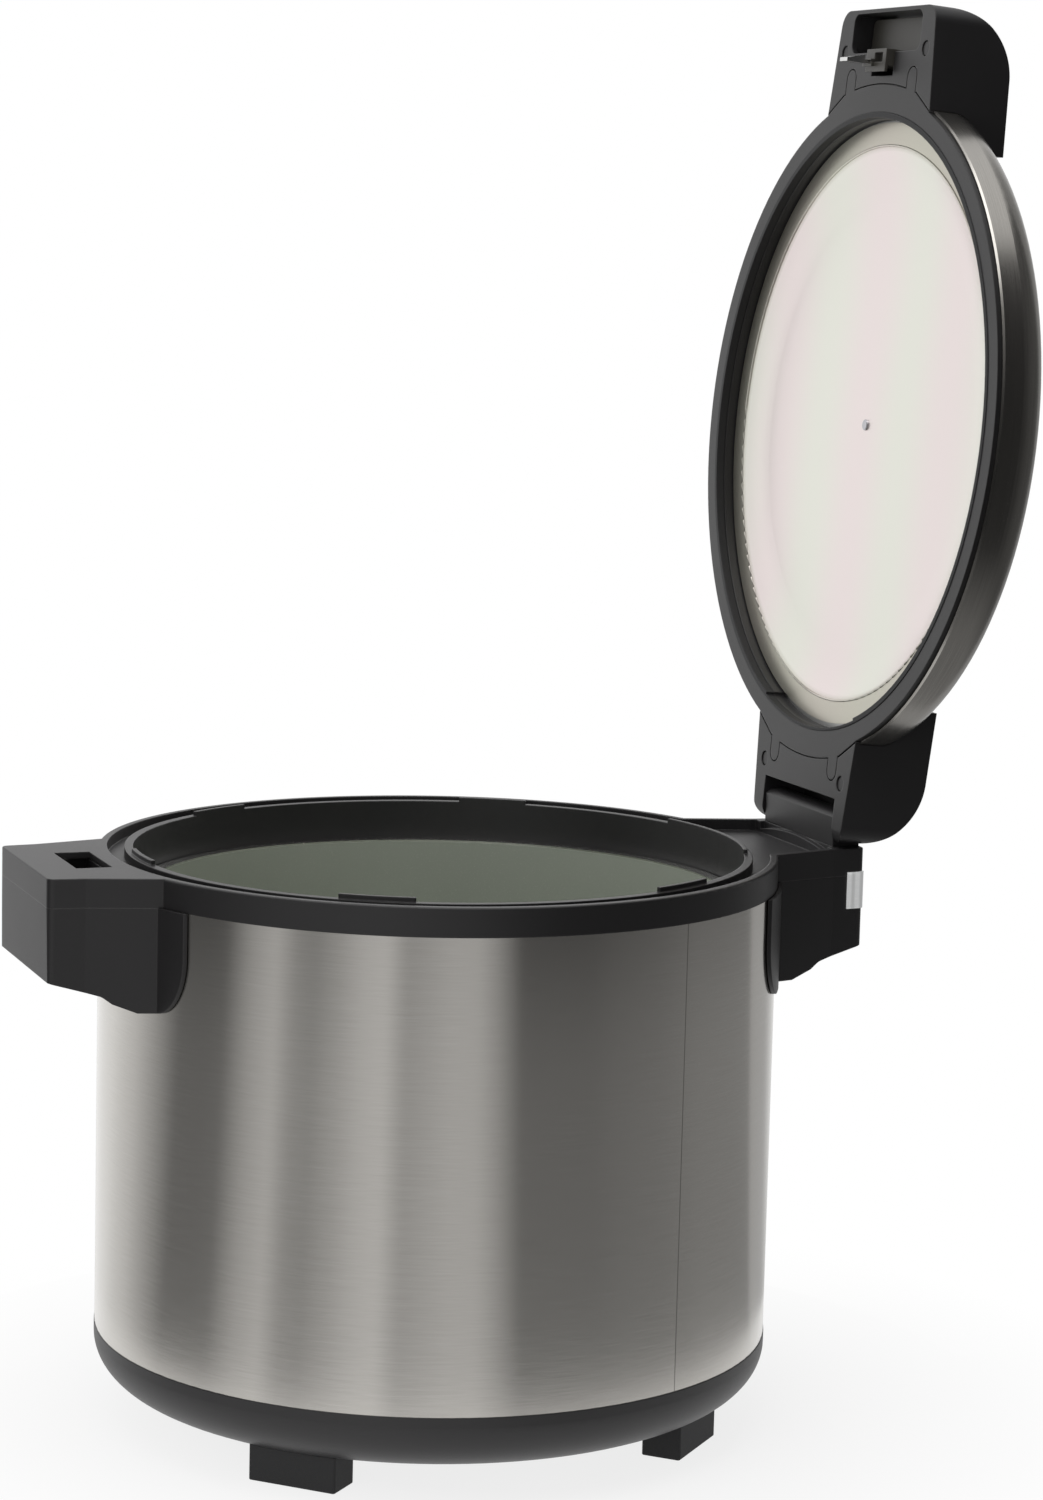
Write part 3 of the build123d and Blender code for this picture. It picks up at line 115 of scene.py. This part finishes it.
class Finish:
    def __init__(self, name, owner=None):
        self.material = owner or bpy.data.materials.new(name)
        self.material.use_nodes = True
        self.tree = self.material.node_tree
        self.tree.nodes.clear()

    def add(self, kind, settings=None, sockets=None, output=0):
        node = self.tree.nodes.new("ShaderNode" + kind)
        for name, value in (settings or {}).items():
            if name == "stops":
                set_stops(node.color_ramp, value)
            else:
                setattr(node, name, value)
        for name, value in (sockets or {}).items():
            if isinstance(value, Socket):
                self.tree.links.new(value.socket, node.inputs[name])
            else:
                node.inputs[name].default_value = value
        return Socket(self, node.outputs[output]) if node.outputs else node

    def place(self, scale=(1, 1, 1), origin=(0, 0, 0)):
        place = self.add("TexCoord", output="Object")
        moved = self.add("VectorMath", {"operation": "SUBTRACT"}, {0: place, 1: origin})
        return self.add("VectorMath", {"operation": "MULTIPLY"}, {0: moved, 1: scale})

    def parts(self, vector):
        split = self.add("SeparateXYZ", sockets={"Vector": vector})
        return [Socket(self, output) for output in split.socket.node.outputs]

    def dot(self, first, second):
        sockets = {0: first, 1: second}
        return self.add("VectorMath", {"operation": "DOT_PRODUCT"}, sockets, "Value")

    def length(self, vector):
        return self.add("VectorMath", {"operation": "LENGTH"}, {0: vector}, "Value")

    def level_length(self, x, y):
        return self.length(self.add("CombineXYZ", sockets={"X": x, "Y": y}))

    def function(self, operation, value):
        return self.add("Math", {"operation": operation}, {0: value})

    def ramp(self, value, low, high, to_low=0.0, to_high=1.0):
        sockets = {
            "Value": value,
            "From Min": low,
            "From Max": high,
            "To Min": to_low,
            "To Max": to_high,
        }
        return self.add("MapRange", {"clamp": True}, sockets)

    def middle(self, noise, low=0.3, high=0.7):
        return self.ramp(noise, low, high)

    def sway(self, noise, amount):
        return amount * (noise - NOISE_MEAN)

    def blend(self, factor, first, second):
        return self.add("Mix", {"data_type": "RGBA"}, {0: factor, 6: first, 7: second}, 2)

    def noise(self, vector, scale=1.0, detail=2.0, roughness=0.5):
        sockets = {"Vector": vector, "Scale": scale, "Detail": detail, "Roughness": roughness}
        return self.add("TexNoise", sockets=sockets)

    def rounded(self, radius, samples=4):
        return self.add("Bevel", {"samples": samples}, {"Radius": radius})

    def bump(self, height, distance, normal=None):
        sockets = {"Height": height, "Distance": distance}
        if normal is not None:
            sockets["Normal"] = normal
        return self.add("Bump", sockets=sockets)

    def surface(self, sockets):
        shader = self.add("BsdfPrincipled", sockets=sockets)
        self.add("OutputMaterial", sockets={"Surface": shader})
        return self.material


def set_stops(ramp, stops):
    while len(ramp.elements) > 1:
        ramp.elements.remove(ramp.elements[-1])
    ramp.elements[0].position, ramp.elements[0].color = stops[0]
    for position, colour in stops[1:]:
        ramp.elements.new(position).color = colour


# %% [markdown]
# Colours are named as they look on a screen, from 0 to 255, and turned into light once, here.

# %% Colours
def rgb(red, green, blue):
    channels = []
    for value in (red, green, blue):
        share = value / 255
        channels.append(share / 12.92 if share <= 0.04045 else ((share + 0.055) / 1.055) ** 2.4)
    return (*channels, 1.0)


def grey(level):
    return (level, level, level, 1.0)


def lighter(colour, times):
    return (*(times * channel for channel in colour[:3]), 1.0)


print("mid grey as light:", round(rgb(128, 128, 128)[0], 3))

# %% [markdown]
# The camera stands where the photographer stood: left of the front, well above the drum's rim
# and a little below the top of the open lid, with a long lens. Its frame is upright, so the lens
# is measured on the sensor's height. The place and the lens were found by matching the drum, the
# ring and the lid to the picture.

# %% The camera
picture_height = 1500
focal_pixels = 3896.5
camera_place = axis.xy.to_3d() + Vector((-0.67936, -1.92687, 0.64693))
camera_azimuth = math.radians(-110.611)
camera_elevation = math.radians(8.021)
camera_roll = math.radians(1.393)

back = Vector((
    math.cos(camera_elevation) * math.cos(camera_azimuth),
    math.cos(camera_elevation) * math.sin(camera_azimuth),
    math.sin(camera_elevation),
))
level_right = Vector((0, 0, 1)).cross(back).normalized()
level_up = back.cross(level_right)
right = level_right * math.cos(camera_roll) + level_up * math.sin(camera_roll)
up = level_up * math.cos(camera_roll) - level_right * math.sin(camera_roll)
camera_turn = Matrix((right, up, back)).transposed().to_4x4()

camera_data = bpy.data.cameras.new("camera")
camera_data.sensor_fit = "VERTICAL"
camera_data.sensor_height = 36
camera_data.lens = focal_pixels * camera_data.sensor_height / picture_height
camera = bpy.data.objects.new("camera", camera_data)
camera.matrix_world = Matrix.Translation(camera_place) @ camera_turn
bpy.context.collection.objects.link(camera)
bpy.context.scene.camera = camera
bpy.context.scene.view_settings.view_transform = "Standard"
print("lens", round(camera_data.lens, 1), "mm")

# %% [markdown]
# Moulded black plastic is never one flat black. The mould leaves a fine texture that spreads the
# shine, the colour drifts a little over a hand's width, and a corner that hands rub is smoother
# and paler. A Bevel node finds the corners: where its rounded normal leaves the flat one, there
# is an edge. The same rounded normal also takes the knife edge off every corner.

# %% Moulded black plastic
def edge_mask(finish, rounded, reach=0.12):
    flat = finish.add("NewGeometry", output="Normal")
    agree = finish.dot(rounded, flat)
    return finish.ramp(1 - agree, 0.0, reach)


def moulded(name, colour, worn, roughness=0.44, grain=2200, depth=0.05 * MM, edge=0.9 * MM):
    finish = Finish(name)
    rounded = finish.rounded(edge, samples=6)
    corner = edge_mask(finish, rounded)
    drift = finish.noise(finish.place(), scale=9.0, detail=3.0)
    speckle = finish.noise(finish.place(), scale=grain, detail=2.0, roughness=0.6)
    base = finish.blend(finish.middle(drift), colour, lighter(colour, 1.25))
    wear = finish.ramp(drift, 0.35, 0.6, to_low=0.3, to_high=0.8)
    shine = roughness + finish.sway(drift, 0.12) + finish.sway(speckle, 0.10) - 0.06 * corner
    return finish.surface({
        "Base Color": finish.blend(corner * wear, base, worn),
        "Roughness": shine,
        "Normal": finish.bump(speckle, depth, rounded),
    })


black_plastic = moulded("black_plastic", rgb(36, 35, 36), rgb(55, 53, 53))
foot_rubber = moulded(
    "foot_rubber", rgb(34, 34, 35), rgb(52, 52, 52),
    roughness=0.72, grain=1400, depth=0.08 * MM,
)
seal_rubber = moulded(
    "seal_rubber", rgb(24, 24, 26), rgb(36, 36, 38),
    roughness=0.6, grain=1800, depth=0.03 * MM,
)
button_grey = moulded("button_grey", rgb(66, 64, 59), rgb(88, 85, 80), roughness=0.4)
print("moulded finishes:", 4)

# %% [markdown]
# The drum is brushed round its waist, so the grain runs level and each reflection smears up and
# down into a tall band. Two things make that: an anisotropic shine turned a quarter, so that it is
# rough across the grain, and a noise that is very short upwards and long round the drum. The
# sheet's ends meet in one upright line, a fine groove that shows as a thin dark stripe.

# %% Brushed drum
seam_azimuth = math.radians(-65.3)
seam_width = 0.5 * MM
seam_darkness = 0.7
grain_length = 22 * MM
grain_height = 0.3 * MM
brush_depth = 0.004 * MM


def seam_mask(finish, place):
    outward = (math.cos(seam_azimuth), math.sin(seam_azimuth), 0)
    along = (-outward[1], outward[0], 0)
    across = finish.dot(place, along)
    facing = finish.dot(place, outward)
    near = finish.ramp(finish.function("ABSOLUTE", across), 0.0, seam_width, 1.0, 0.0)
    return near * finish.ramp(facing, 0.0, drum_radius / 2)


def brushed_drum():
    finish = Finish("brushed_drum")
    squeeze = (1 / grain_length, 1 / grain_length, 1 / grain_height)
    streak = finish.noise(finish.place(squeeze, axis), detail=3.0, roughness=0.65)
    cloud = finish.noise(finish.place((1, 1, 2.5), axis), scale=7.0)
    seam = seam_mask(finish, finish.place(origin=axis))
    grain = finish.middle(streak, 0.25, 0.75)
    plain = finish.blend(grain, rgb(200, 197, 191), rgb(210, 207, 202))
    return finish.surface({
        "Base Color": finish.blend(seam * seam_darkness, plain, rgb(70, 66, 60)),
        "Metallic": 1.0,
        "Roughness": 0.2 + finish.sway(grain, 0.05) + finish.sway(cloud, 0.03),
        "Anisotropic": 0.85,
        "Anisotropic Rotation": 0.25,
        "Normal": finish.bump(streak - seam, brush_depth),
    })


shell_steel = brushed_drum()
print("seam at", round(math.degrees(seam_azimuth), 1), "degrees")

# %% [markdown]
# The dome of the lid is the same steel, polished in rings about its own axis. The lid stands open,
# so its places are first turned back about the hinge to where they are when it is shut. Then the
# distance from the axis makes the rings.

# %% Steel polished in rings
ring_length = 50 * MM


def closed_place(finish):
    place = finish.add("TexCoord", output="Object")
    sockets = {"Vector": place, "Center": hinge, "Angle": -open_angle}
    turned = finish.add("VectorRotate", {"rotation_type": "Y_AXIS"}, sockets)
    return finish.add("VectorMath", {"operation": "SUBTRACT"}, {0: turned, 1: axis})


def ring_place(finish, place, pitch):
    x, y, z = finish.parts(place)
    across = (finish.level_length(x, y) + z) * (1 / pitch)
    sockets = {"X": across, "Y": x * (1 / ring_length), "Z": y * (1 / ring_length)}
    return finish.add("CombineXYZ", sockets=sockets)


def ringed_steel(name, dark, light, roughness, pitch, depth, lid=True):
    finish = Finish(name)
    place = closed_place(finish) if lid else finish.place(origin=axis)
    rings = finish.noise(ring_place(finish, place, pitch), detail=3.0, roughness=0.6)
    cloud = finish.noise(place, scale=8.0)
    grain = finish.middle(rings, 0.25, 0.75)
    return finish.surface({
        "Base Color": finish.blend(grain, dark, light),
        "Metallic": 1.0,
        "Roughness": roughness + finish.sway(grain, 0.05) + finish.sway(cloud, 0.05),
        "Normal": finish.bump(rings, depth),
    })


dome_steel = ringed_steel(
    "dome_steel", rgb(158, 155, 150), rgb(176, 173, 168),
    roughness=0.24, pitch=0.4 * MM, depth=0.004 * MM,
)
liner_steel = ringed_steel(
    "liner_steel", rgb(186, 186, 184), rgb(204, 204, 202),
    roughness=0.32, pitch=0.6 * MM, depth=0.006 * MM, lid=False,
)
print("ringed finishes:", 2)

# %% [markdown]
# The pan inside the lid is anodised, with a pearly bloom: a pale satin metal whose tint drifts
# from rose to green in wide soft bands. The tint is so weak that it reads as white. The flange
# round its edge is greyed with painted shade, where the black ring around it shades it.

# %% Pearly pan
pan_low, pan_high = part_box("lid_pan")
pan_reach = (pan_high.y - pan_low.y) / 2
flange_start = pan_reach - 12.5 * MM
# how strongly painted shade greys the flange next to the black ring
flange_shade_strength = 0.8
band_turn = 60.0
band_drift = 0.04


def pearly_pan():
    finish = Finish("pan_steel")
    place = closed_place(finish)
    x, y = finish.parts(place)[:2]
    wander = finish.noise(place, scale=5.0)
    bands = finish.function("SINE", (y + band_drift * wander) * band_turn)
    bloom = finish.blend(finish.ramp(bands, -1.0, 1.0), rgb(237, 237, 227), rgb(242, 231, 229))
    radius = finish.level_length(x, y)
    # painted shade: the flange darkens towards its edge, where the black ring shades it
    painted_flange_shade = finish.ramp(radius, flange_start - 3 * MM, flange_start + 1 * MM)
    fine = finish.noise(place, scale=900.0)
    return finish.surface({
        "Base Color": finish.blend(painted_flange_shade * flange_shade_strength, bloom, rgb(190, 187, 172)),
        "Metallic": 0.85,
        "Roughness": 0.34 + finish.sway(fine, 0.08),
        "Normal": finish.bump(fine, 0.008 * MM),
    })


pan_steel = pearly_pan()
print("pan finish:", pan_steel.name)

# %% [markdown]
# The pot has a grey non-stick coating. It is sprayed, so it is matt with a faint orange peel, and
# tiny pale flakes lie in it. The turned edge of the rim is left bare, and shines as a thin line.

# %% Coated pot
rim_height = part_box("inner_pot")[1].z
bare_start = rim_height - 1.2 * MM
bare_end = rim_height - 0.7 * MM


def coated_pot():
    finish = Finish("pot_coating")
    place = finish.place()
    peel = finish.noise(place, scale=260.0)
    flakes = finish.noise(place, scale=1500.0, detail=1.0)
    drift = finish.noise(place, scale=6.0)
    base = finish.blend(finish.middle(drift), rgb(172, 178, 166), rgb(184, 190, 178))
    flaked = finish.ramp(flakes, 0.62, 0.72, to_high=0.4)
    coat = finish.blend(flaked, base, rgb(206, 210, 200))
    height = finish.parts(place)[2]
    bare = finish.ramp(height, bare_start, bare_end)
    return finish.surface({
        "Base Color": finish.blend(bare, coat, rgb(240, 240, 236)),
        "Metallic": bare,
        "Roughness": 0.4 + finish.sway(peel, 0.10) - 0.15 * bare,
        "Normal": finish.bump(peel, 0.03 * MM),
    })


pot_coating = coated_pot()
print("pot finish:", pot_coating.name)

# %% [markdown]
# The plain metals differ in colour, in how rough they are and in how coarse and deep their grain
# is, so one function makes them all from those values. Cast metal has a coarse deep grain, a
# plated screw a fine one, and the element is brown from its heat.

# %% Plain metals
def plain_metal(name, dark, light, roughness, grain, depth):
    finish = Finish(name)
    rounded = finish.rounded(0.3 * MM)
    pits = finish.noise(finish.place(), scale=grain, detail=3.0, roughness=0.6)
    drift = finish.noise(finish.place(), scale=30.0)
    return finish.surface({
        "Base Color": finish.blend(finish.middle(drift), dark, light),
        "Metallic": 1.0,
        "Roughness": roughness + finish.sway(pits, 0.12),
        "Normal": finish.bump(pits, depth, rounded),
    })


screw_steel = plain_metal(
    "screw_steel", rgb(178, 178, 182), rgb(202, 202, 206),
    roughness=0.3, grain=1800.0, depth=0.01 * MM,
)
hook_steel = plain_metal(
    "hook_steel", rgb(214, 214, 214), rgb(230, 230, 228),
    roughness=0.2, grain=1200.0, depth=0.006 * MM,
)
cast_aluminium = plain_metal(
    "cast_aluminium", rgb(168, 168, 166), rgb(190, 190, 188),
    roughness=0.52, grain=500.0, depth=0.08 * MM,
)
element_steel = plain_metal(
    "element_steel", rgb(92, 80, 72), rgb(120, 108, 98),
    roughness=0.42, grain=900.0, depth=0.02 * MM,
)
print("plain metals:", 4)

# %% [markdown]
# The rest are small: ceramic, wool, the clear lens and the lamp behind it. Wool is all fibre, so
# its noise is stretched and deep. The lens is clear with a moulded ripple. Its upright ribs inside
# are painted as grey lines of shade, and a painted glow of its own white keeps it pale in front of
# the black plastic.

# %% Ceramic, wool and clear plastic
rib_pitch = 4.6 * MM


def ceramic():
    finish = Finish("terminal_white")
    grain = finish.noise(finish.place(), scale=700.0, detail=3.0)
    return finish.surface({
        "Base Color": finish.blend(finish.middle(grain), rgb(214, 208, 194), rgb(232, 228, 216)),
        "Roughness": 0.55,
        "Normal": finish.bump(grain, 0.03 * MM),
    })


def mineral_wool():
    finish = Finish("mineral_wool")
    fibre = finish.noise(finish.place((1, 1, 5)), scale=240.0, detail=6.0, roughness=0.7)
    return finish.surface({
        "Base Color": finish.blend(finish.middle(fibre), rgb(150, 142, 118), rgb(206, 198, 172)),
        "Roughness": 0.95,
        "Normal": finish.bump(fibre, 1.2 * MM),
    })


def clear_plastic(name, tint, weight, glow=0.0, rib_shade_strength=0.0):
    finish = Finish(name)
    rounded = finish.rounded(0.4 * MM)
    ripple = finish.noise(finish.place((1, 1, 3)), scale=160.0, detail=1.0)
    x, y = finish.parts(finish.place())[:2]
    ribs = finish.function("SINE", (x - y) * (math.tau / rib_pitch))
    clear = finish.blend(finish.middle(ripple), tint, rgb(255, 255, 255))
    # painted shade: grey lines stand for the light and shade that the ribs make
    painted_rib_shade = finish.ramp(ribs, -0.4, 0.9) * rib_shade_strength
    return finish.surface({
        "Base Color": finish.blend(painted_rib_shade, clear, rgb(120, 122, 122)),
        "Roughness": 0.08 + 0.05 * ripple,
        "IOR": 1.49,
        "Transmission Weight": weight,
        # painted glow: the lens gives off a little of its own light, though it is no lamp
        "Emission Color": tint,
        "Emission Strength": glow,
        "Normal": finish.bump(ripple, 0.04 * MM, rounded),
    })


terminal_white = ceramic()
wool = mineral_wool()
# the lens gets painted grey rib shade and a painted glow
clear_lens = clear_plastic(
    "clear_lens", rgb(246, 247, 247), weight=0.3, glow=0.3, rib_shade_strength=0.8,
)
lamp_amber = clear_plastic("lamp_amber", rgb(232, 150, 60), weight=0.5)
print("small finishes:", 4)

# %% [markdown]
# The record names a material slot for each piece. A finish goes onto every slot of the piece's
# object, and only the dome leaves its slot's common finish, because its grain runs in rings.

# %% Finishes onto the pieces
finish_of_slot = {
    "black_plastic": black_plastic,
    "foot_rubber": foot_rubber,
    "screw_steel": screw_steel,
    "shell_steel": shell_steel,
    "hook_steel": hook_steel,
    "clear_lens": clear_lens,
    "lamp_amber": lamp_amber,
    "liner_steel": liner_steel,
    "cast_aluminium": cast_aluminium,
    "element_steel": element_steel,
    "mineral_wool": wool,
    "terminal_white": terminal_white,
    "pot_coating": pot_coating,
    "seal_rubber": seal_rubber,
    "pan_steel": pan_steel,
    "button_grey": button_grey,
}
finish_of_piece = {"lid_dome": dome_steel}
for part in frame["record"]["subparts"]:
    material = finish_of_piece.get(part["node"], finish_of_slot[part["material_slot"]])
    slots = frame["nodes"][part["node"]].data.materials
    for index in range(len(slots)):
        slots[index] = material
print("slots finished:", len(finish_of_slot))

# %% [markdown]
# The latch is returned by a torsion spring wound on its pin. In the frame a sleeve holds its
# place. A curve with a round bevel is the quickest true spring: a helix of a few turns, with flat
# caps on the wire's ends.

# %% Latch spring
def coil_points(centre, radius, length, turns, steps_per_turn=24):
    points = []
    for step in range(turns * steps_per_turn + 1):
        turn = step / steps_per_turn
        angle = math.tau * turn
        x = centre.x + radius * math.cos(angle)
        y = centre.y + length * (turn / turns - 0.5)
        z = centre.z + radius * math.sin(angle)
        points.append(Vector((x, y, z)))
    return points


def wire(name, points, radius, material):
    curve = bpy.data.curves.new(name, "CURVE")
    curve.dimensions = "3D"
    curve.bevel_depth = radius
    curve.bevel_resolution = 4
    curve.use_fill_caps = True
    spline = curve.splines.new("POLY")
    spline.points.add(len(points) - 1)
    for point, place in zip(spline.points, points):
        point.co = (*place, 1)
    curve.materials.append(material)
    piece = bpy.data.objects.new(name, curve)
    bpy.context.collection.objects.link(piece)
    return piece


spring_low, spring_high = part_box("latch_spring")
spring_centre = (spring_low + spring_high) / 2
spring_turns = 6
spring_wire = 0.55 * MM
spring_radius = (spring_high.x - spring_low.x) / 2 - spring_wire
spring_length = spring_high.y - spring_low.y - 2 * spring_wire
coil = coil_points(spring_centre, spring_radius, spring_length, spring_turns)
latch_coil = wire("latch_torsion_spring", coil, spring_wire, screw_steel)
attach(latch_coil, "lid")
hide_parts("latch_spring")
print("spring turns:", spring_turns)

# %% [markdown]
# The studio is a pale floor and a round curtain that opens upwards like a funnel. The curtain is
# what the steel mirrors: bright behind the object, dark to both sides and mid grey behind the
# photographer, in upright bands that grow paler near the floor. It stands close, so that the drum
# mirrors it and not the floor. The camera doesn't see it, but the plain white behind it. Each stop
# is a direction in degrees, counted from +X towards +Y, with a brightness.

# %% The curtain that the steel mirrors
circle_sides = 96
curtain_foot_radius = 0.32
curtain_top_radius = 2.2
curtain_height = 3.0
foot_glow = 0.18
foot_glow_height = 0.14
curtain_stops = (
    (15.8, 0.34), (39, 1), (109.8, 1), (135.3, 0.88), (153, 0.6), (165, 0.26), (174, 0.0),
    (184, 0.0), (191, 0.02), (199.5, 0.34), (207, 0.5), (213, 0.2), (218.5, 0.12),
    (225, 0.24), (231.5, 0.42), (237.5, 0.54), (243, 0.3), (249, 0.38), (255, 0.46), (261.6, 0.46),
    (266.3, 0.3), (272.9, 0.0), (279.5, 0.0), (286.1, 0.0), (292.8, 0.0), (299.5, 0.02),
    (314.8, 0.05), (330, 0.1), (357.2, 0.12),
)


def curtain_finish():
    finish = Finish("curtain")
    x, y, z = finish.parts(finish.place(origin=axis))
    angle = finish.add("Math", {"operation": "ARCTAN2"}, {0: y, 1: x})
    turn = finish.function("FRACT", angle * (1 / math.tau) + 1.0)
    stops = [(degrees / 360, grey(level)) for degrees, level in curtain_stops]
    bands = finish.add("ValToRGB", {"stops": stops}, {"Fac": turn})
    lift = finish.ramp(z, 0.0, foot_glow_height, foot_glow, 0.0)
    glow = finish.add("Emission", sockets={"Color": finish.blend(lift, bands, grey(1.0))})
    finish.add("OutputMaterial", sockets={"Surface": glow})
    return finish.material


def staged(name, shape, material):
    mesh = bpy.data.meshes.new(name)
    shape.to_mesh(mesh)
    shape.free()
    mesh.materials.append(material)
    piece = bpy.data.objects.new(name, mesh)
    bpy.context.collection.objects.link(piece)
    return piece


def curtain():
    shape = bmesh.new()
    radii = {"radius1": curtain_foot_radius, "radius2": curtain_top_radius}
    bmesh.ops.create_cone(shape, segments=circle_sides, depth=curtain_height, **radii)
    bmesh.ops.translate(shape, verts=shape.verts, vec=(axis.x, axis.y, curtain_height / 2))
    wall = staged("curtain", shape, curtain_finish())
    wall.visible_camera = False
    wall.visible_shadow = False


curtain()
print("curtain stops:", len(curtain_stops))

# %% [markdown]
# The floor is white paper. Near the object it takes the object's shadow, and further out it fades
# into the plain white of the background, so that no horizon shows. Light Path keeps the fade to
# what the camera sees straight, in a mirror or through the lens. Light that bounces off paper
# onto dull surfaces still comes from plain paper.

# %% The floor
floor_reach = 3.1
shadow_reach = 0.38
shadow_core = 0.4 * shadow_reach
core_whiteness = 0.82
paper_dark = grey(0.84)
paper_light = grey(0.88)


def seen_directly(finish):
    path = finish.add("LightPath").socket.node
    names = ("Is Camera Ray", "Is Glossy Ray", "Is Transmission Ray")
    camera_ray, mirror_ray, lens_ray = [Socket(finish, path.outputs[name]) for name in names]
    return camera_ray + mirror_ray + lens_ray


def floor_finish():
    finish = Finish("floor")
    place = finish.place()
    distance = finish.length(place)
    fade = finish.ramp(distance, shadow_core, shadow_reach, core_whiteness, 1.0)
    grain = finish.noise(place, scale=300.0)
    tone = finish.blend(grain, paper_dark, paper_light)
    paper = finish.add("BsdfDiffuse", sockets={"Color": tone})
    white = finish.add("Emission", sockets={"Color": grey(1.0)})
    factor = finish.ramp(seen_directly(finish), 0.0, 1.0) * fade
    both = finish.add("MixShader", sockets={"Fac": factor, 1: paper, 2: white})
    finish.add("OutputMaterial", sockets={"Surface": both})
    return finish.material


def floor():
    shape = bmesh.new()
    bmesh.ops.create_circle(shape, cap_ends=True, segments=circle_sides, radius=floor_reach)
    staged("floor", shape, floor_finish())


floor()
print("floor reach", floor_reach, "m")

# %% [markdown]
# The world is white where it is seen and dim where it only adds light. One wide soft lamp hangs
# overhead, a smaller and weaker one stands to the left, and the curtain does the rest.

# %% World and lamps
world = bpy.data.worlds.new("studio")
bpy.context.scene.world = world
sky = Finish("studio", world)
ambient = 0.55
strength = sky.ramp(seen_directly(sky), 0.0, 1.0, ambient, 1.0)
background = sky.add("Background", sockets={"Color": grey(1.0), "Strength": strength})
sky.add("OutputWorld", sockets={"Surface": background})


def soft_lamp(name, place, target, size, power):
    data = bpy.data.lights.new(name, "AREA")
    data.size = size
    data.energy = power
    lamp = bpy.data.objects.new(name, data)
    lamp.location = place
    lamp.rotation_mode = "QUATERNION"
    lamp.rotation_quaternion = (Vector(target) - Vector(place)).to_track_quat("-Z", "Y")
    bpy.context.collection.objects.link(lamp)


soft_lamp("overhead", place=(-0.3, -0.4, 2.6), target=(0, 0, 0.3), size=1.6, power=15)
soft_lamp("left", place=(-1.35, -1.15, 0.5), target=(0, 0, 0.25), size=0.8, power=4)
print("lamps:", 2)

# %% [markdown]

# %% The end
print("scene set up")
